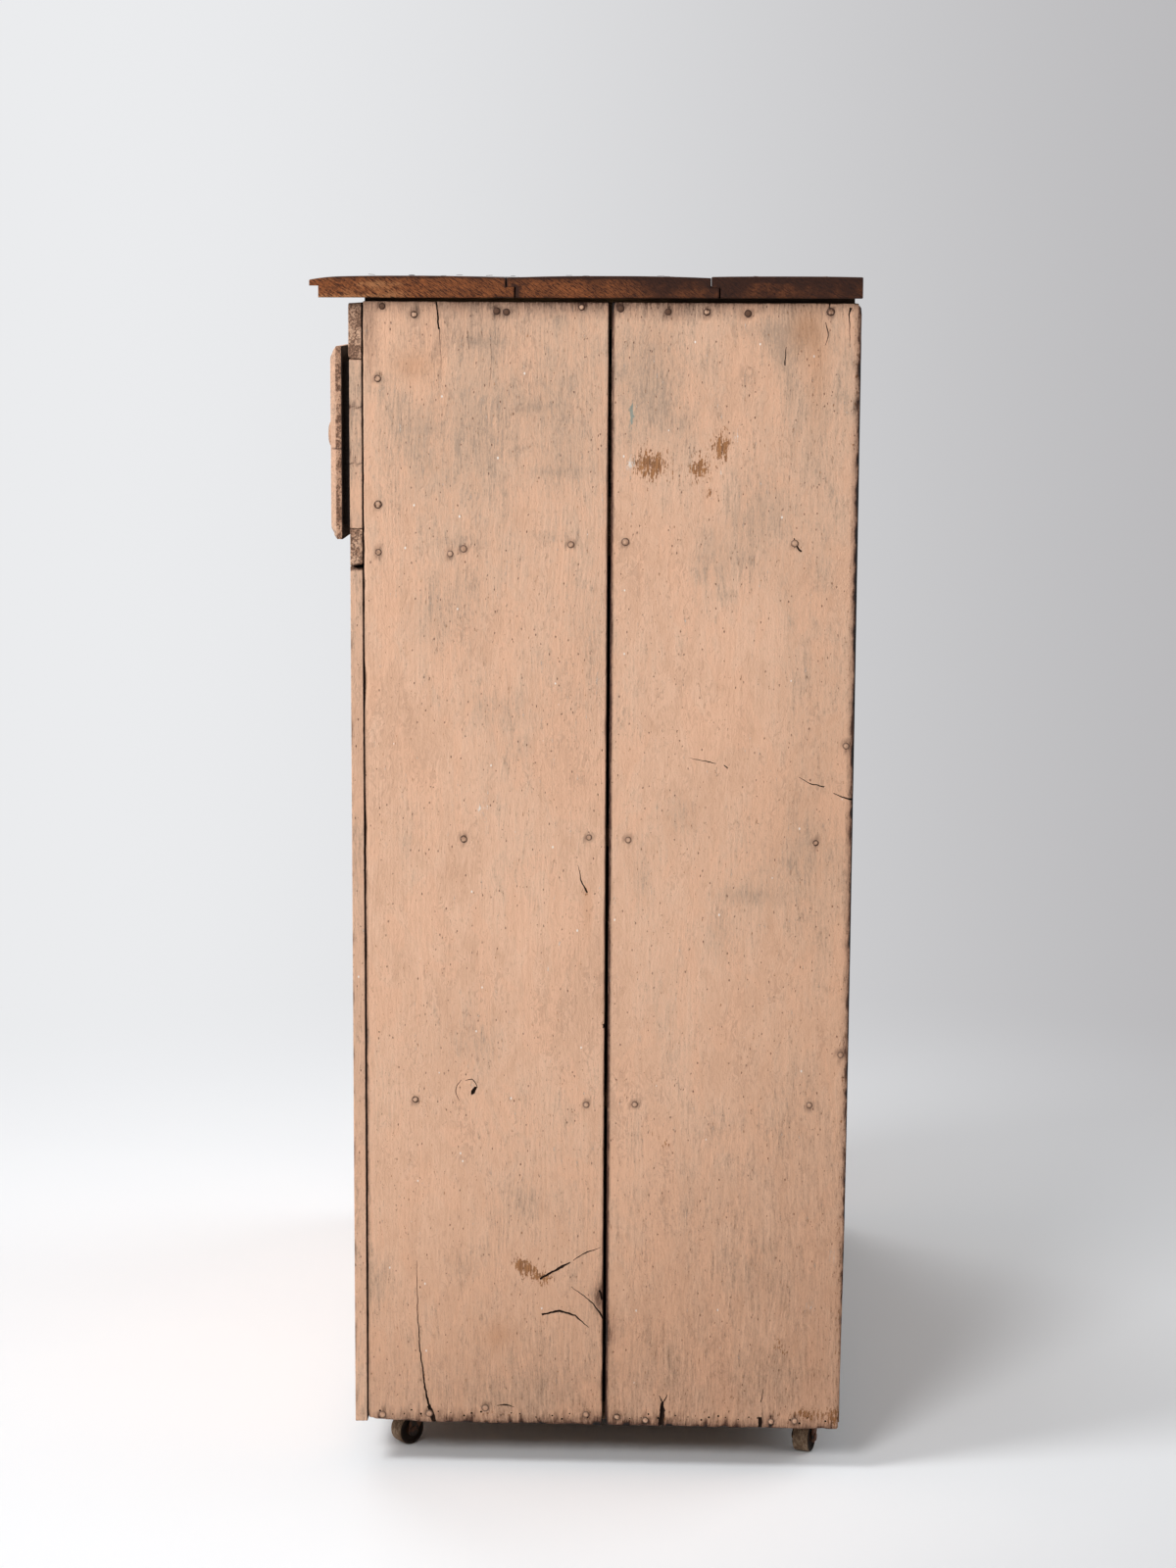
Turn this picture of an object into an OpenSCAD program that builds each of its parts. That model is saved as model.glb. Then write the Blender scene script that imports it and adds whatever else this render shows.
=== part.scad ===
// Plank cupboard on four small casters: two lipped drawers over two panelled doors,
// under a shiplap board top. Millimetres, +Z up, the front faces -Y. The origin is on the
// floor, under the middle of the whole outline. Right means +X, as seen from the front.

/* [Case] */
// Width over the two side walls
case_w = 914; // [700:1:1200]
// Height of the side walls, without top and casters
case_h = 1140; // [950:1:1400]
// Thickness of a side board
side_t = 19; // [15:0.5:25]
// Width of the front board of a side wall
front_plank_w = 240.5; // [200:0.5:300]
// Width of the rear board of a side wall
rear_plank_w = 242.5; // [200:0.5:300]
// Open seam between the two boards of a side wall
plank_gap = 3; // [1:0.5:5]
// Radius of the worn upper rear corner of a side wall
corner_wear_r = 8; // [2:0.5:15]

/* [Top] */
// Thickness of a top board
top_t = 23; // [14:0.5:30]
// Height of the top boards above the upper edges of the side walls
top_lift = 3; // [1:0.5:6]
// Overhang of the top past each side wall
top_side_over = 6; // [2:0.5:30]
// Overhang of the top past the front edges of the side walls
top_front_over = 51.5; // [30:0.5:60]
// Overhang of the top past the rear edges of the side walls
top_back_over = 0.5; // [0.5:0.1:10]
// Face width of the front top board
top_front_board_w = 192.3; // [150:0.1:230]
// Face width of the middle top board
top_middle_board_w = 198.9; // [150:0.1:230]
// Width of the shiplap rebates
lap_w = 9; // [6:0.5:12]
// Open seam in a shiplap joint
lap_seam = 1; // [0.5:0.1:2]
// Thickness of the side cleats that carry the top
cleat_t = 19; // [15:0.5:30]
// Height of the side cleats that carry the top
cleat_h = 30; // [25:0.5:45]

/* [Face frame] */
// Thickness of the stiles and of the middle and bottom rails
frame_t = 12.7; // [10:0.1:20]
// Thickness of the top rail
top_rail_t = 13.4; // [12.7:0.1:16]
// Gap between the face frame and the front edges of the side walls
frame_gap = 0.9; // [0.3:0.1:0.9]
// Distance of the top rail below the upper edges of the side walls
top_rail_drop = 2; // [1:0.5:4]
// Height of the top rail
top_rail_h = 54; // [40:0.5:80]
// Height of the middle rail
middle_rail_h = 36.5; // [30:0.5:60]
// Height of the bottom rail
bottom_rail_h = 45; // [35:0.5:80]
// Width of the outer stiles
outer_stile_w = 45; // [38:0.5:70]
// Width of the centre stiles
center_stile_w = 50; // [40:0.5:80]
// Dried-out gap between the middle rail and the outer door stiles
stile_shrink = 3; // [0.5:0.5:5]
// Seam between the other pieces of the face frame
frame_seam = 0.3; // [0.2:0.1:0.8]
// Radius of the rounded lower edge of the top rail
rail_round_r = 4; // [1:0.5:6]

/* [Drawers] */
// Height of the drawer openings
drawer_open_h = 166.5; // [120:0.5:220]
// Thickness of the lip of a drawer front
drawer_lip_t = 13.5; // [8:0.5:16]
// How far the lip overlaps the stiles
lip_side = 9.5; // [5:0.5:15]
// How far the lip overlaps the top rail
lip_top = 11.6; // [5:0.1:20]
// How far the lip overlaps the middle rail
lip_bottom = 13.1; // [5:0.1:15]
// Width of the bevel round a drawer front
bevel_w = 11; // [6:0.5:20]
// Depth of the bevel round a drawer front
bevel_d = 7; // [2:0.5:7]
// Thickness of the inner block of a drawer front
block_t = 10; // [8:0.5:16]
// Thickness of the drawer sides and backs
drawer_side_t = 11; // [9:0.5:16]
// Thickness of the drawer bottoms
drawer_bottom_t = 6; // [4:0.5:8]
// Height of a drawer bottom above the lower edges of its sides
drawer_bottom_rise = 8; // [5:0.5:15]
// Depth of the grooves that hold a drawer bottom
drawer_groove_d = 5; // [3:0.5:6]
// Gap between a drawer and the stiles on each side
drawer_fit = 1.5; // [0.8:0.1:3]
// Gap between the top of a drawer and its opening
drawer_head_gap = 4; // [2:0.5:8]
// How far the drawers stand open at rest
drawer_ajar = 10.8; // [4:0.1:20]
// Gap between a closed drawer and the back boards
drawer_back_gap = 5; // [3:0.5:15]
// Height of the runners that the drawers slide on
runner_h = 7; // [4:0.5:12]
// Width of the runners
runner_w = 27; // [20:0.5:40]
// Height of the guides beside the drawers
guide_h = 40; // [20:0.5:70]
// Gap between a sliding or turning piece and what carries it
slide_gap = 0.3; // [0.2:0.05:0.5]

/* [Doors] */
// Thickness of the door frames
door_t = 19; // [17:0.5:25]
// Gap round each door
door_gap = 2; // [1.5:0.1:3]
// Width of the door stiles
door_stile_w = 60; // [45:0.5:80]
// Height of the upper and middle door rails
door_rail_h = 60; // [45:0.5:80]
// Height of the lower door rail
door_base_rail_h = 75; // [60:0.5:110]
// Height of the upper panel as a share of both panels
upper_panel_share = 0.42; // [0.3:0.01:0.7]
// Thickness of the door panels
panel_t = 8; // [5:0.5:10]
// Depth of the grooves that hold the panels
panel_groove_d = 9; // [6:0.5:12]
// Free play of a panel or tenon in its groove, on each face
groove_play = 0.25; // [0.1:0.05:0.4]
// Wood left in a door stile between the knob's dowel and the tenons of the rails
dowel_wall = 5; // [3:0.5:8]
// Gap between a closed door and the shelf edges that stop it
door_stop_gap = 0.8; // [0.4:0.1:2]

/* [Shelves] */
// Thickness of the shelves, the drawer deck and the bottom
shelf_t = 19; // [15:0.5:25]
// Distance of the upper shelf's middle below the upper edges of the side walls
upper_shelf_drop = 531; // [430:1:600]
// Distance of the lower shelf's middle below the upper edges of the side walls
lower_shelf_drop = 801; // [700:1:880]
// Seam between the two boards of a shelf
shelf_seam = 1.5; // [0.5:0.5:3]

/* [Back] */
// Thickness of the back boards
back_t = 12.7; // [8:0.1:20]
// Distance of the back boards in front of the rear edges of the side walls
back_inset = 2; // [1:0.5:8]
// Number of back boards
back_count = 4; // [3:1:6]
// Seam between the back boards
back_seam = 1.5; // [0.5:0.5:3]

/* [Knobs and button] */
// How far a knob stands out
knob_reach = 24; // [18:0.5:30]
// Radius of a knob's head
knob_r = 15; // [12:0.5:18]
// Radius of a knob's neck
knob_neck_r = 7; // [5:0.5:9]
// Radius of a knob's foot
knob_foot_r = 10.5; // [9:0.5:12]
// Radius of the dowel that holds a knob
knob_dowel_r = 5; // [3:0.5:5]
// Length of a door knob's dowel
door_dowel_l = 15; // [10:0.5:16]
// Height of the door knobs above the middle of the doors
door_knob_rise = 40; // [0:1:150]
// Length of the turn button
button_l = 72; // [62:1:80]
// Width of the turn button
button_w = 20; // [14:0.5:26]
// Thickness of the turn button
button_t = 8; // [5:0.5:12]
// Height of the turn button above the door knobs
button_rise = 75; // [60:1:140]
// Radius of the screw that the turn button pivots on
button_screw_r = 2.2; // [1.5:0.1:3]
// Radius of that screw's round head
button_head_r = 4.6; // [4:0.1:7]

/* [Hinges] */
// Height of a hinge
hinge_h = 51; // [40:1:70]
// Thickness of a hinge leaf
leaf_t = 1.6; // [1.2:0.1:2]
// Wood left behind a hinge leaf in the frame
leaf_cover = 1.2; // [0.8:0.1:3]
// Radius of a hinge knuckle
knuckle_r = 2.8; // [2.6:0.1:3]
// Radius of a hinge pin
pin_r = 1.25; // [1:0.05:1.4]
// Distance of the hinge axis in front of the face frame
hinge_proud = 1.2; // [0.8:0.1:1.4]
// Distance of each hinge's middle from the end of its door
hinge_inset = 110; // [70:1:160]
// Radius of a hinge screw's shank
hinge_screw_r = 1.5; // [1.2:0.1:1.8]
// Length of a hinge screw
hinge_screw_l = 14; // [10:0.5:18]

/* [Casters] */
// Height of the case above the floor
caster_h = 44; // [44:0.5:60]
// Radius of a caster wheel
wheel_r = 15.5; // [13:0.5:16]
// Width of a caster wheel
wheel_w = 17.5; // [10:0.5:18]
// Distance between a caster's swivel axis and its wheel's axle
caster_trail = 8; // [5:0.5:12]
// Distance of a caster's swivel axis in from the side wall's outer face
caster_side_inset = 67; // [45:1:100]
// Distance of the front casters' swivel axes behind the front edge
caster_front_inset = 40; // [40:1:90]
// Distance of the rear casters' swivel axes before the rear edge
caster_rear_inset = 34; // [32:1:90]
// Turn of the front casters at rest
front_caster_turn = 43; // [0:1:180]
// Turn of the rear casters at rest
rear_caster_turn = 72; // [0:1:180]
// Thickness of the caster forks and plates
caster_plate_t = 2; // [1.5:0.1:2.5]
// Length of a caster plate
caster_plate_l = 44; // [40:1:60]
// Width of a caster plate
caster_plate_w = 34; // [32:1:50]
// Radius of a caster's swivel pin
swivel_pin_r = 3; // [2:0.1:4]
// Radius of a caster's axle
axle_r = 2.4; // [1.5:0.1:3]
// Running clearance of pins and axles in their bores
running_gap = 0.05; // [0.02:0.01:0.09]

/* [Nails and screws] */
// Radius of a nail head
nail_head_r = 3.8; // [2.5:0.1:5]
// Height of a nail head
nail_head_h = 0.8; // [0.4:0.1:1]
// Depth at which a nail head is set below the wood
nail_sink = 0.2; // [0.1:0.1:0.5]
// Radius of a nail's shank
nail_r = 1.4; // [1:0.1:2]
// Length of a nail in the side walls or the face frame
nail_l = 35; // [25:1:36]
// Wood left in front of the points of the short nails beside the drawers
nail_tip_cover = 1; // [0.5:0.5:3]
// Length of a nail in the back or the top
back_nail_l = 32; // [25:1:45]
// Height of the lowest nail in an outer door stile above the stile's end
stile_nail_rise = 60; // [30:1:80]
// Distance between the nails of an outer door stile
stile_nail_pitch = 170; // [100:5:250]
// Radius of a caster screw's shank
screw_r = 1.6; // [1.2:0.1:2]
// Radius of a caster screw's head
screw_head_r = 3.4; // [3:0.1:4]
// Length of a caster screw
screw_l = 15; // [10:0.5:17]

/* [Hidden] */
$fn = 48;

// Colours
paint = [0.80, 0.62, 0.50];
stain = [0.26, 0.16, 0.10];
bare = [0.55, 0.40, 0.26];
iron = [0.17, 0.15, 0.14];
rust = [0.36, 0.22, 0.14];
tread = [0.52, 0.42, 0.30];

// Depths, from the front edges of the side walls
case_d = front_plank_w + plank_gap + rear_plank_w;
knob_tip = frame_gap + frame_t + drawer_ajar + drawer_lip_t + knob_reach;
front_reach = max(knob_tip, top_front_over);
side_y = (front_reach - case_d - top_back_over) / 2;
side_end_y = side_y + case_d;
frame_back_y = side_y - frame_gap;
face_y = frame_back_y - frame_t;
back_y = side_end_y - back_inset - back_t;
shelf_y = face_y + door_t + door_stop_gap;

// Heights, from the floor
side_z = caster_h;
side_top_z = side_z + case_h;
top_z = side_top_z + top_lift;
rail_top_z = side_top_z - top_rail_drop;
open_top_z = rail_top_z - top_rail_h;
open_z = open_top_z - drawer_open_h;
rail_low_z = open_z - middle_rail_h;
deck_top_z = open_z - runner_h;
upper_shelf_top_z = side_top_z - upper_shelf_drop + shelf_t / 2;
lower_shelf_top_z = side_top_z - lower_shelf_drop + shelf_t / 2;
bottom_top_z = side_z + shelf_t;
base_rail_top_z = side_z + bottom_rail_h;

// Widths, from the middle plane
side_x = case_w / 2;
inner_x = side_x - side_t;
open_out_x = side_x - outer_stile_w;
open_in_x = center_stile_w / 2;
open_w = open_out_x - open_in_x;
open_mid_x = (open_out_x + open_in_x) / 2;

// Drawers at rest
lip_back_y = face_y - drawer_ajar;
lip_front_y = lip_back_y - drawer_lip_t;
block_back_y = lip_back_y + block_t;
box_end_y = back_y - drawer_back_gap - drawer_ajar;
box_w = open_w - 2 * drawer_fit;
box_z = open_z + slide_gap;
box_h = open_top_z - drawer_head_gap - box_z;
bottom_z = box_z + drawer_bottom_rise;
lip_w = open_w + 2 * lip_side;
lip_z = open_z - lip_bottom;
lip_h = drawer_open_h + lip_top + lip_bottom;
drawer_knob_z = lip_z + lip_h / 2;

// Doors
door_in_x = open_in_x + door_gap;
door_out_x = open_out_x - door_gap;
door_z = base_rail_top_z + door_gap;
door_top_z = rail_low_z - door_gap;
door_h = door_top_z - door_z;
groove_w = panel_t + 2 * groove_play;
groove_y = face_y + (door_t - groove_w) / 2;
panels_h = door_h - 2 * door_rail_h - door_base_rail_h;
lower_panel_z = door_z + door_base_rail_h;
lower_panel_top_z = lower_panel_z + panels_h * (1 - upper_panel_share);
upper_panel_z = lower_panel_top_z + door_rail_h;
upper_panel_top_z = door_top_z - door_rail_h;
door_knob_x = door_in_x + door_stile_w / 2;
tenon_l = door_stile_w / 2 - knob_dowel_r - dowel_wall;
door_knob_z = door_z + door_h / 2 + door_knob_rise;
button_z = door_knob_z + button_rise;

// Hinges
leaf_d = frame_t - leaf_cover;
pin_cap_h = 0.8;
hinge_x = open_out_x - door_gap / 2;
hinge_y = face_y - hinge_proud;
hinge_zs = [door_z + hinge_inset, door_top_z - hinge_inset];
knuckle_count = 5;
knuckle_h = hinge_h / knuckle_count;
sweep_r = knuckle_r + slide_gap;
leaf_play = 0.1;
screw_head_cone_r = 2 * hinge_screw_r;
leaf_screw_y = hinge_proud + leaf_d / 2;
leaf_screw_z = hinge_h * 0.3;

// Casters
plate_low_z = side_z - caster_plate_t;
race_h = 2;
race_r = 9;
crown_top_z = plate_low_z - race_h - slide_gap;
crown_low_z = crown_top_z - caster_plate_t;
pin_low_z = crown_low_z - slide_gap;
swivel_head_r = 5.2;
swivel_head_h = 1.4;
leg_x = wheel_w / 2 + 2 * slide_gap;
leg_r = 6;
axle_head_r = 4.2;
axle_head_h = 1.3;

// Nail places along a board, as shares of its width, each with its height off the row's line
top_row_front = [[0.08, 4], [0.21, -4], [0.545, 0], [0.585, -1], [0.89, 4]];
top_row_rear = [[0.035, 3], [0.225, 0], [0.38, 0], [0.545, -1], [0.875, 1]];
deck_row_front = [[0.06, -6], [0.355, -7], [0.41, -2], [0.85, 3]];
deck_row_rear = [[0.06, 6], [0.745, 6]];
upper_row_front = [[0.41, 0], [0.93, 3]];
upper_row_rear = [[0.08, 1], [0.85, 0]];
lower_row_front = [[0.205, 2], [0.925, -1]];
lower_row_rear = [[0.115, 0], [0.84, 2]];
base_row_front = [[0.06, -2], [0.26, 0], [0.5, 7], [0.93, 2]];
base_row_rear = [[0.05, 0], [0.17, -3], [0.7, -2], [0.8, -1]];
top_row_z = side_top_z - 9;
deck_row_z = deck_top_z - shelf_t / 2;
upper_row_z = upper_shelf_top_z - shelf_t / 2;
lower_row_z = lower_shelf_top_z - shelf_t / 2;
base_row_z = bottom_top_z - shelf_t / 2;
// Shares of the height at which nails hold the side walls to the back boards
back_edge_shares = [0.38, 0.655];
// Short nails beside the drawers, near the front edge, as shares of the opening's height
drawer_side_shares = [0.147, 0.886];
drawer_side_nail_l = side_t - nail_sink - nail_head_h - nail_tip_cover;

// The same piece on the right, for s = 1, or mirrored to the left, for s = -1
module on_side(s) {
    if (s > 0) children();
    else mirror([1, 0, 0]) children();
}

// A box between two corners
module block(low, high) {
    translate(low) cube(high - low);
}

// An outline of y and z, drawn out from x0 to x1
module along_x(x0, x1) {
    translate([x0, 0, 0]) rotate([90, 0, 90]) linear_extrude(x1 - x0) children();
}

// A rectangle with a corner radius
module round_rect(w, h, r) {
    translate([r, 0]) square([w - 2 * r, h]);
    translate([0, r]) square([w, h - 2 * r]);
    for (x = [r, w - r], y = [r, h - r]) translate([x, y]) circle(r);
}

// Side walls

module side_board(s, y0, y1, worn) {
    color(paint) on_side(s) difference() {
        block([inner_x, y0, side_z], [side_x, y1, side_top_z]);
        if (worn) translate([inner_x - 1, y1 - corner_wear_r, side_top_z - corner_wear_r])
            difference() {
                cube([side_t + 2, corner_wear_r + 1, corner_wear_r + 1]);
                rotate([0, 90, 0]) cylinder(side_t + 2, r = corner_wear_r);
            }
    }
}

module side_front_board(s) { side_board(s, side_y, side_y + front_plank_w, false); }

module side_rear_board(s) { side_board(s, side_end_y - rear_plank_w, side_end_y, true); }

// Top

top_y = side_y - top_front_over;
top_seam_1_y = top_y + top_front_board_w;
top_seam_2_y = top_seam_1_y + top_middle_board_w;
top_end_y = side_end_y + top_back_over;
top_half_t = top_t / 2;

// Each board has an upper lip in front and, but for the last, a lower lip behind
module top_board(y0, y1, rear_lip) {
    lip_y = rear_lip ? y1 + lap_w - lap_seam : y1;
    upper_y = rear_lip ? y1 - lap_seam : y1;
    color(stain) along_x(-side_x - top_side_over, side_x + top_side_over) translate([0, top_z])
        polygon([
            [y0, top_half_t], [y0, top_t], [upper_y, top_t], [upper_y, top_half_t - slide_gap],
            [lip_y, top_half_t - slide_gap], [lip_y, 0], [y0 + lap_w, 0], [y0 + lap_w, top_half_t]
        ]);
}

module top_front_board() { top_board(top_y, top_seam_1_y, true); }

module top_middle_board() { top_board(top_seam_1_y, top_seam_2_y, true); }

module top_rear_board() { top_board(top_seam_2_y, top_end_y, false); }

bearer_x = open_in_x + drawer_fit + drawer_side_t;

// A cleat on each side wall, and a deeper bearer in the middle that keeps open drawers level
module top_cleats() {
    color(bare) {
        for (s = [-1, 1]) on_side(s)
            block([inner_x - cleat_t, side_y, top_z - cleat_h], [inner_x, back_y, top_z]);
        block([-bearer_x, side_y, open_top_z], [bearer_x, back_y, top_z]);
    }
}

// Face frame

module top_rail() {
    w = top_rail_h - rail_round_r;
    color(paint) along_x(-side_x, side_x) translate([frame_back_y - top_rail_t, open_top_z]) {
        translate([0, rail_round_r]) square([top_rail_t, w]);
        translate([rail_round_r, 0]) square([top_rail_t - rail_round_r, top_rail_h]);
        translate([rail_round_r, rail_round_r]) circle(rail_round_r);
    }
}

module middle_rail() {
    color(paint) block([-side_x, face_y, rail_low_z], [side_x, frame_back_y, open_z]);
}

module bottom_rail() {
    x = open_out_x - frame_seam;
    color(paint) block([-x, face_y, side_z], [x, frame_back_y, base_rail_top_z]);
}

module drawer_stile(s) {
    color(paint) on_side(s) block([open_out_x, face_y, open_z + frame_seam],
        [side_x, frame_back_y, open_top_z - frame_seam]);
}

module drawer_stile_center() {
    color(paint) block([-open_in_x, face_y, open_z + frame_seam],
        [open_in_x, frame_back_y, open_top_z - frame_seam]);
}

module door_stile(s) {
    color(paint) on_side(s) difference() {
        block([open_out_x, face_y, side_z], [side_x, frame_back_y, rail_low_z - stile_shrink]);
        for (z = hinge_zs) translate([hinge_x, hinge_y, z]) hinge_recess(1);
    }
}

module door_stile_center() {
    color(paint) block([-open_in_x, face_y, base_rail_top_z + frame_seam],
        [open_in_x, frame_back_y, rail_low_z - frame_seam]);
}

// Deck, runners, guides, shelves and bottom

// Two boards side by side from y0 to the back boards, between the side walls
module inner_boards(y0, top) {
    mid = (y0 + back_y) / 2;
    color(bare) {
        block([-inner_x, y0, top - shelf_t], [inner_x, mid - shelf_seam / 2, top]);
        block([-inner_x, mid + shelf_seam / 2, top - shelf_t], [inner_x, back_y, top]);
    }
}

module drawer_deck() { inner_boards(side_y, deck_top_z); }

module drawer_runners() {
    color(bare) for (s = [-1, 1], x = [open_in_x, open_out_x - runner_w]) on_side(s)
        block([x, side_y, deck_top_z], [x + runner_w, back_y, open_z]);
}

module drawer_guides() {
    color(bare) {
        for (s = [-1, 1]) on_side(s)
            block([open_out_x, side_y, deck_top_z], [inner_x, back_y, deck_top_z + guide_h]);
        block([-open_in_x, side_y, deck_top_z], [open_in_x, back_y, deck_top_z + guide_h]);
    }
}

module upper_shelf() { inner_boards(shelf_y, upper_shelf_top_z); }

module lower_shelf() { inner_boards(shelf_y, lower_shelf_top_z); }

module bottom_board() { inner_boards(side_y, bottom_top_z); }

// Back

back_board_w = (2 * inner_x - (back_count + 1) * back_seam) / back_count;

module back_boards() {
    pitch = back_board_w + back_seam;
    color(bare) for (i = [0 : back_count - 1]) {
        x = -inner_x + back_seam + i * pitch;
        block([x, back_y, side_z], [x + back_board_w, back_y + back_t, side_top_z]);
    }
}

// Nails and screws

// A nail driven along -Z, with its head set just below the origin
module nail(l) {
    translate([0, 0, -nail_sink - nail_head_h]) {
        cylinder(nail_head_h, r = nail_head_r, $fn = 24);
        translate([0, 0, -l]) cylinder(l, r = nail_r, $fn = 16);
    }
}

// A row of side nails along one board
module side_row(y0, w, row, z) {
    for (p = row) translate([side_x, y0 + p[0] * w, z + p[1]]) rotate([0, 90, 0]) nail(nail_l);
}

module side_nails() {
    front = side_y;
    rear = side_end_y - rear_plank_w;
    color(rust) for (s = [-1, 1]) on_side(s) {
        side_row(front, front_plank_w, top_row_front, top_row_z);
        side_row(rear, rear_plank_w, top_row_rear, top_row_z);
        side_row(front, front_plank_w, deck_row_front, deck_row_z);
        side_row(rear, rear_plank_w, deck_row_rear, deck_row_z);
        side_row(front, front_plank_w, upper_row_front, upper_row_z);
        side_row(rear, rear_plank_w, upper_row_rear, upper_row_z);
        side_row(front, front_plank_w, lower_row_front, lower_row_z);
        side_row(rear, rear_plank_w, lower_row_rear, lower_row_z);
        side_row(front, front_plank_w, base_row_front, base_row_z);
        side_row(rear, rear_plank_w, base_row_rear, base_row_z);
        for (k = back_edge_shares)
            translate([side_x, back_y + back_t / 2, side_top_z - k * case_h])
                rotate([0, 90, 0]) nail(nail_l);
        for (k = drawer_side_shares)
            translate([side_x, front + 0.06 * front_plank_w, open_z + k * drawer_open_h])
                rotate([0, 90, 0]) nail(drawer_side_nail_l);
    }
}

edge_x = side_x - side_t / 2;
stile_nail_z = side_z + stile_nail_rise;
stile_nail_count = floor((rail_low_z - stile_nail_z) / stile_nail_pitch);
back_nail_x = back_board_w * 0.3;
top_nail_lines = [-inner_x + cleat_t / 2, 0, inner_x - cleat_t / 2];

// A nail through the face frame into the front edge of a side wall
module front_nail(s, y, z) {
    translate([s * edge_x, y, z]) rotate([90, 0, 0]) nail(nail_l);
}

module front_nails() {
    for (s = [-1, 1]) {
        for (k = [0.3, 0.7]) front_nail(s, frame_back_y - top_rail_t, open_top_z + top_rail_h * k);
        front_nail(s, face_y, open_z - middle_rail_h * 0.3);
        for (k = [0.25, 0.75]) front_nail(s, face_y, open_z + drawer_open_h * k);
        for (i = [0 : stile_nail_count]) front_nail(s, face_y, stile_nail_z + i * stile_nail_pitch);
    }
}

// Nails through the back boards into the deck, the shelves and the bottom
module rear_nails() {
    pitch = back_board_w + back_seam;
    zs = [deck_row_z, upper_row_z, lower_row_z, base_row_z];
    for (i = [0 : back_count - 1], k = [-1, 1], z = zs) {
        x = -inner_x + back_seam + back_board_w / 2 + i * pitch + k * back_nail_x;
        translate([x, back_y + back_t, z]) rotate([-90, 0, 0]) nail(back_nail_l);
    }
}

// Nails through the top boards into the cleats and the bearer
module top_nails() {
    boards = [[top_y, top_seam_1_y], [top_seam_1_y, top_seam_2_y], [top_seam_2_y, top_end_y]];
    for (x = top_nail_lines, b = boards, k = [0.3, 0.75])
        translate([x, b[0] + k * (b[1] - b[0]), top_z + top_t]) nail(back_nail_l);
}

module frame_nails() {
    color(rust) {
        front_nails();
        rear_nails();
        top_nails();
    }
}

// Hinges, each about its own middle, with the leaf on +X fixed and the one on -X moving

// The room that a leaf and the knuckles need in a stile
module hinge_recess(s) {
    h = hinge_h + 2 * slide_gap;
    round_h = h + 2 * pin_cap_h;
    on_side(s) translate([0, -hinge_proud, -h / 2])
        cube([door_gap / 2 + leaf_t + leaf_play, 2 * hinge_proud + leaf_d + leaf_play, h]);
    translate([0, 0, -round_h / 2]) cylinder(round_h, r = sweep_r + leaf_play);
}

// One leaf with every second knuckle; parity 0 keeps the first, third and fifth
module leaf(s, parity) {
    bore_r = parity == 0 ? pin_r + 0.01 : pin_r + running_gap;
    on_side(s) difference() {
        union() {
            translate([door_gap / 2, 0, -hinge_h / 2]) cube([leaf_t, hinge_proud + leaf_d, hinge_h]);
            for (i = [0 : knuckle_count - 1]) if (i % 2 == parity)
                translate([0, 0, i * knuckle_h - hinge_h / 2 + slide_gap / 2])
                    cylinder(knuckle_h - slide_gap, r = knuckle_r);
        }
        for (i = [0 : knuckle_count - 1]) if (i % 2 != parity)
            translate([0, 0, i * knuckle_h - hinge_h / 2 - slide_gap / 2])
                cylinder(knuckle_h + slide_gap, r = sweep_r);
        translate([0, 0, -hinge_h]) cylinder(2 * hinge_h, r = bore_r);
        for (z = [-leaf_screw_z, leaf_screw_z]) translate([door_gap / 2, leaf_screw_y, z])
            rotate([0, 90, 0]) translate([0, 0, -0.01])
                cylinder(leaf_t + 0.02, r1 = screw_head_cone_r + 0.1, r2 = hinge_screw_r + 0.1);
    }
    on_side(s) for (z = [-leaf_screw_z, leaf_screw_z])
        translate([door_gap / 2 + 0.05, leaf_screw_y, z]) rotate([0, 90, 0]) countersunk_screw();
}

// A screw with its flat head on the origin, driven along +Z
module countersunk_screw() {
    difference() {
        union() {
            cylinder(leaf_t, r1 = screw_head_cone_r, r2 = hinge_screw_r, $fn = 24);
            translate([0, 0, leaf_t]) cylinder(hinge_screw_l - leaf_t, r = hinge_screw_r, $fn = 24);
        }
        translate([-screw_head_cone_r, -0.3, -0.1]) cube([2 * screw_head_cone_r, 0.6, 0.7]);
    }
}

module hinge_fixed_leaves() {
    color(iron) for (s = [-1, 1], z = hinge_zs) on_side(s)
        translate([hinge_x, hinge_y, z]) leaf(1, 0);
}

module hinge_pins() {
    color(iron) for (s = [-1, 1], z = hinge_zs) translate([s * hinge_x, hinge_y, z - hinge_h / 2]) {
        cylinder(hinge_h, r = pin_r);
        for (e = [-pin_cap_h, hinge_h]) translate([0, 0, e]) cylinder(pin_cap_h, r = knuckle_r * 0.8);
    }
}

// Drawers

// An outline whose front corners are bevelled, from a width or height and the lip's thickness
module bevelled_outline(l) {
    polygon([[0, drawer_lip_t], [0, bevel_d], [bevel_w, 0], [l - bevel_w, 0], [l, bevel_d],
        [l, drawer_lip_t]]);
}

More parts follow.
